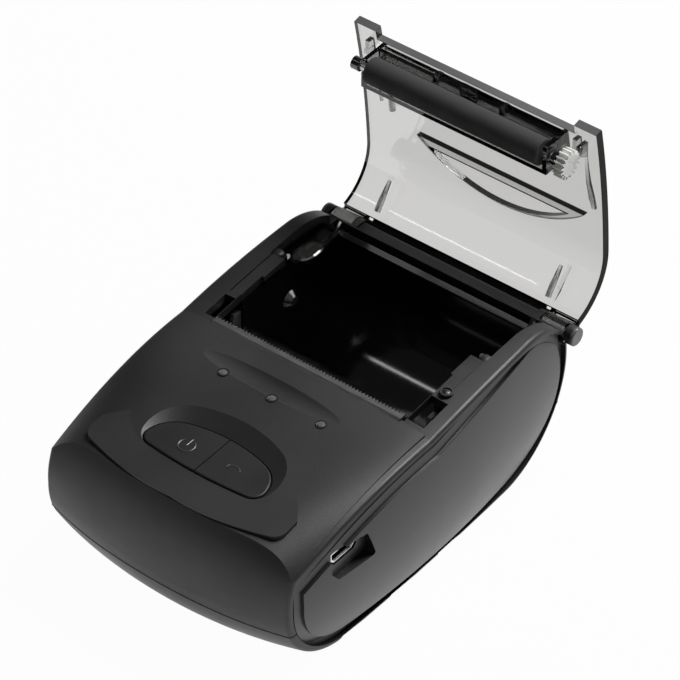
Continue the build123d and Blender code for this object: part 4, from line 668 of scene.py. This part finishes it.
class PRINTER_OT_cover_skins(bpy.types.Operator):
    """Lays thin skins on the cover: painted shade on its cut side edges, barrels, finger grip and
    foot, and painted light on its top edge
    """
    bl_idname = "printer.cover_skins"
    bl_label = "Cover skins"

    def execute(self, context):
        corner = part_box("cover_shell")[1]
        side, top = corner.x - 0.05 * MM, corner.z - 5.0 * MM

        def off_hinge(at):
            return math.hypot(at.y - HINGE.y, at.z - HINGE.z) / MM

        def on_barrels(at, way):
            return off_hinge(at) < BARREL + 0.05 and abs(way.x) < 0.1

        def on_grip(at, way):
            return (abs(way.y) < 0.35 and GRIP_LOW * MM < at.z < GRIP_HIGH * MM
                    and at.y > GRIP_BACK * MM and abs(at.x - GRIP_MIDDLE * MM) < GRIP_HALF * MM)

        def on_foot(at, way):
            return (BARREL + 0.2 < off_hinge(at) < FOOT and at.z < HINGE.z + 0.1 * MM
                    and abs(way.x) < 0.1)

        for name, finish, chosen in (
                # Dark skins painting shade on the cover's cut side edges.
                ("edge_right", "edge_painted_shade", lambda at, way: at.x > side and way.x > 0.9),
                ("edge_left", "edge_painted_shade", lambda at, way: at.x < -side and way.x < -0.9),
                # A grey skin painting the light seen on the cover's top edge.
                ("edge_top", "edge_painted_light", lambda at, way: at.z > top and way.z > 0.8),
                # Denser smoke over the barrels, painting their shade.
                ("barrel_sleeves", "smoke_painted_shade", on_barrels),
                # Dark skins painting shade on the finger grip's edges.
                ("grip_lines", "edge_painted_shade", on_grip),
                # A dark skin painting shade over the cover's foot, hiding a band of reflected light.
                ("foot_lining", "edge_painted_shade", on_foot)):
            face_patch("cover_shell", name, chosen, context.scene.printer_trim.skin, finish)
        return {"FINISHED"}


class PRINTER_OT_cover_fittings(bpy.types.Operator):
    """Adds the rib fins, the liner behind the roller and the two pegs inside the cover"""
    bl_idname = "printer.cover_fittings"
    bl_label = "Cover fittings"

    def execute(self, context):
        trim = context.scene.printer_trim
        for label, side in SIDES:
            plate = strip([(mm(side * FIN, *wall), mm(side * FIN, *free))
                           for wall, free in FIN_STATIONS], trim.fin)
            settle(plate, "rib_fin_" + label, "smoke_trough", "cover")
        low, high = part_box("roller_holder")
        half = high.x - 0.2 * MM
        rows = []
        for level in (low.z + 1.6 * MM, low.z + 4.2 * MM, high.z - 0.9 * MM):
            back = inner_face(LINER_MIDDLE * MM, level) - 0.4 * MM
            rows.append((Vector((-half, back, level)), Vector((half, back, level))))
        liner = strip(rows, trim.liner)
        settle(liner, "trough_liner", "smoke_trough", "cover")
        for name, (x, radius, foot, top) in PEGS.items():
            peg = rod_line([mm(x - 0.6, PEG_DEPTH, top), mm(x, PEG_DEPTH, foot)], radius * MM)
            settle(peg, name, "smoke_trough", "cover")
        return {"FINISHED"}


def clear_tree(owner):
    """Empties the nodes of a material or a world."""
    owner.use_nodes = True
    owner.node_tree.nodes.clear()
    return owner.node_tree.nodes, owner.node_tree.links


def math_node(nodes, operation, second=None):
    node = nodes.new("ShaderNodeMath")
    node.operation = operation
    if second is not None:
        node.inputs[1].default_value = second
    return node


def seen_directly(nodes, links):
    """1 for rays from the camera and through clear plastic, and the light path node."""
    rays = nodes.new("ShaderNodeLightPath")
    seen = math_node(nodes, "MAXIMUM")
    links.new(rays.outputs["Is Camera Ray"], seen.inputs[0])
    links.new(rays.outputs["Is Transmission Ray"], seen.inputs[1])
    return seen.outputs[0], rays


def mixed(nodes, links, share_of_second, first, second):
    """A shader mixed from two others."""
    mix = nodes.new("ShaderNodeMixShader")
    links.new(share_of_second, mix.inputs["Fac"])
    links.new(first, mix.inputs[1])
    links.new(second, mix.inputs[2])
    return mix.outputs[0]


def make_floor(chosen):
    """A floor that looks white and is grey to the light that falls on it."""
    bpy.ops.object.select_all(action="DESELECT")
    bpy.ops.mesh.primitive_plane_add(size=6.0, location=(0, 0, 0))
    floor = bpy.context.view_layer.objects.active
    floor.name = "floor"
    material = bpy.data.materials.new("floor_white")
    nodes, links = clear_tree(material)
    matte = nodes.new("ShaderNodeBsdfDiffuse")
    matte.inputs["Color"].default_value = (*chosen.floor, 1.0)
    white = nodes.new("ShaderNodeEmission")
    shine = nodes.new("ShaderNodeEmission")
    shine.inputs["Strength"].default_value = chosen.floor_shine
    seen, rays = seen_directly(nodes, links)
    part = math_node(nodes, "MULTIPLY", chosen.floor_white)
    links.new(seen, part.inputs[0])
    mirrored = mixed(nodes, links, rays.outputs["Is Glossy Ray"], matte.outputs[0],
                     shine.outputs[0])
    surface = mixed(nodes, links, part.outputs[0], mirrored, white.outputs[0])
    out = nodes.new("ShaderNodeOutputMaterial")
    links.new(surface, out.inputs["Surface"])
    floor.data.materials.append(material)


def make_world(chosen, scene):
    """A room that looks white, and in reflections is dim with a bright band low at the rear."""
    world = bpy.data.worlds.new("studio")
    scene.world = world
    nodes, links = clear_tree(world)
    white = nodes.new("ShaderNodeBackground")
    grey = nodes.new("ShaderNodeBackground")
    for background in (white, grey):
        background.inputs["Color"].default_value = (1.0, 1.0, 1.0, 1.0)
    coords = nodes.new("ShaderNodeTexCoord")
    parts = nodes.new("ShaderNodeSeparateXYZ")
    links.new(coords.outputs["Generated"], parts.inputs["Vector"])
    sweep = math_node(nodes, "MULTIPLY")
    for slot, (axis, end, first, last) in enumerate((("Z", 0.3, 1.0, 0.0), ("Y", 0.4, 0.0, 1.0))):
        fade = nodes.new("ShaderNodeMapRange")
        fade.inputs["From Max"].default_value = end
        fade.inputs["To Min"].default_value = first
        fade.inputs["To Max"].default_value = last
        links.new(parts.outputs[axis], fade.inputs["Value"])
        links.new(fade.outputs["Result"], sweep.inputs[slot])
    level = math_node(nodes, "MAXIMUM", chosen.surround)
    links.new(sweep.outputs[0], level.inputs[0])
    links.new(level.outputs[0], grey.inputs["Strength"])
    seen, _ = seen_directly(nodes, links)
    out = nodes.new("ShaderNodeOutputWorld")
    links.new(mixed(nodes, links, seen, grey.outputs[0], white.outputs[0]), out.inputs["Surface"])


def place_lamps(chosen):
    """The strip at the left, the small light in front and the broad one above the rear."""
    for name, place, target, size, power in (
            ("key", (-0.44, -0.24, 0.75), (-0.44, 0.04, 0.01), (0.17, 0.045), chosen.key_power),
            ("fill", (0.2, -0.6, 0.7), (0.0, -0.04, 0.02), (0.12, 0.12), chosen.fill_power),
            ("rear", (0.14, 0.5, 0.7), (0.0, 0.0, 0.02), (0.34, 0.36), chosen.rear_power)):
        bpy.ops.object.light_add(type="AREA", location=place)
        lamp = bpy.context.view_layer.objects.active
        lamp.name = name
        lamp.data.shape = "RECTANGLE"
        lamp.data.size, lamp.data.size_y = size
        lamp.data.energy = power
        aim = Vector(target) - Vector(place)
        lamp.rotation_euler = aim.to_track_quat("-Z", "Y").to_euler()


def place_camera(chosen, scene):
    """The camera at the photograph's place and angle."""
    azimuth, elevation = math.radians(38.32), math.radians(41.06)
    forward = Vector((-math.sin(azimuth) * math.cos(elevation),
                      math.cos(azimuth) * math.cos(elevation), -math.sin(elevation)))
    right = Vector((math.cos(azimuth), math.sin(azimuth), 0))
    bpy.ops.object.camera_add(location=(0.4862229, -0.6015309, 0.7245554))
    camera = bpy.context.view_layer.objects.active
    turn = Matrix((right, right.cross(forward), -forward)).transposed()
    camera.rotation_euler = turn.to_euler()
    camera.data.sensor_width = 36.0
    camera.data.lens = chosen.lens
    camera.data.clip_start = 0.01
    scene.camera = camera


class PRINTER_OT_stage(bpy.types.Operator):
    """Sets the floor, the lights, the surroundings and the camera"""
    bl_idname = "printer.stage"
    bl_label = "Floor, lights and camera"

    def execute(self, context):
        chosen = context.scene.printer_stage
        make_floor(chosen)
        make_world(chosen, context.scene)
        place_lamps(chosen)
        place_camera(chosen, context.scene)
        context.scene.view_settings.view_transform = "Standard"
        return {"FINISHED"}


class PRINTER_PT_dressing(bpy.types.Panel):
    """Lists the steps and settings of the printer's dressing"""
    bl_label = "Pocket printer"
    bl_idname = "PRINTER_PT_dressing"
    bl_space_type = "VIEW_3D"
    bl_region_type = "UI"
    bl_category = "Printer"

    def draw(self, context):
        layout = self.layout
        for step in STEPS:
            layout.operator(step.bl_idname)
        for group in (context.scene.printer_finishes, context.scene.printer_trim,
                      context.scene.printer_stage):
            column = layout.column()
            for name in group.__annotations__:
                column.prop(group, name)


SETTINGS = (FinishSettings, TrimSettings, StageSettings)
STEPS = (PRINTER_OT_finishes, PRINTER_OT_status_lenses, PRINTER_OT_button_marks, PRINTER_OT_seam,
         PRINTER_OT_rail_screw, PRINTER_OT_bowl_edges, PRINTER_OT_gear_side,
         PRINTER_OT_cover_skins, PRINTER_OT_cover_fittings, PRINTER_OT_stage)


def register():
    for item in SETTINGS + STEPS + (PRINTER_PT_dressing,):
        bpy.utils.register_class(item)
    bpy.types.Scene.printer_finishes = bpy.props.PointerProperty(type=FinishSettings)
    bpy.types.Scene.printer_trim = bpy.props.PointerProperty(type=TrimSettings)
    bpy.types.Scene.printer_stage = bpy.props.PointerProperty(type=StageSettings)


def unregister():
    del bpy.types.Scene.printer_finishes
    del bpy.types.Scene.printer_trim
    del bpy.types.Scene.printer_stage
    for item in reversed(SETTINGS + STEPS + (PRINTER_PT_dressing,)):
        bpy.utils.unregister_class(item)


def main():
    register()
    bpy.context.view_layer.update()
    bpy.ops.printer.finishes()
    bpy.ops.printer.status_lenses()
    bpy.ops.printer.button_marks()
    bpy.ops.printer.seam()
    bpy.ops.printer.rail_screw()
    bpy.ops.printer.bowl_edges()
    bpy.ops.printer.gear_side()
    bpy.ops.printer.cover_skins()
    bpy.ops.printer.cover_fittings()
    bpy.ops.printer.stage()


if __name__ == "__main__":
    main()
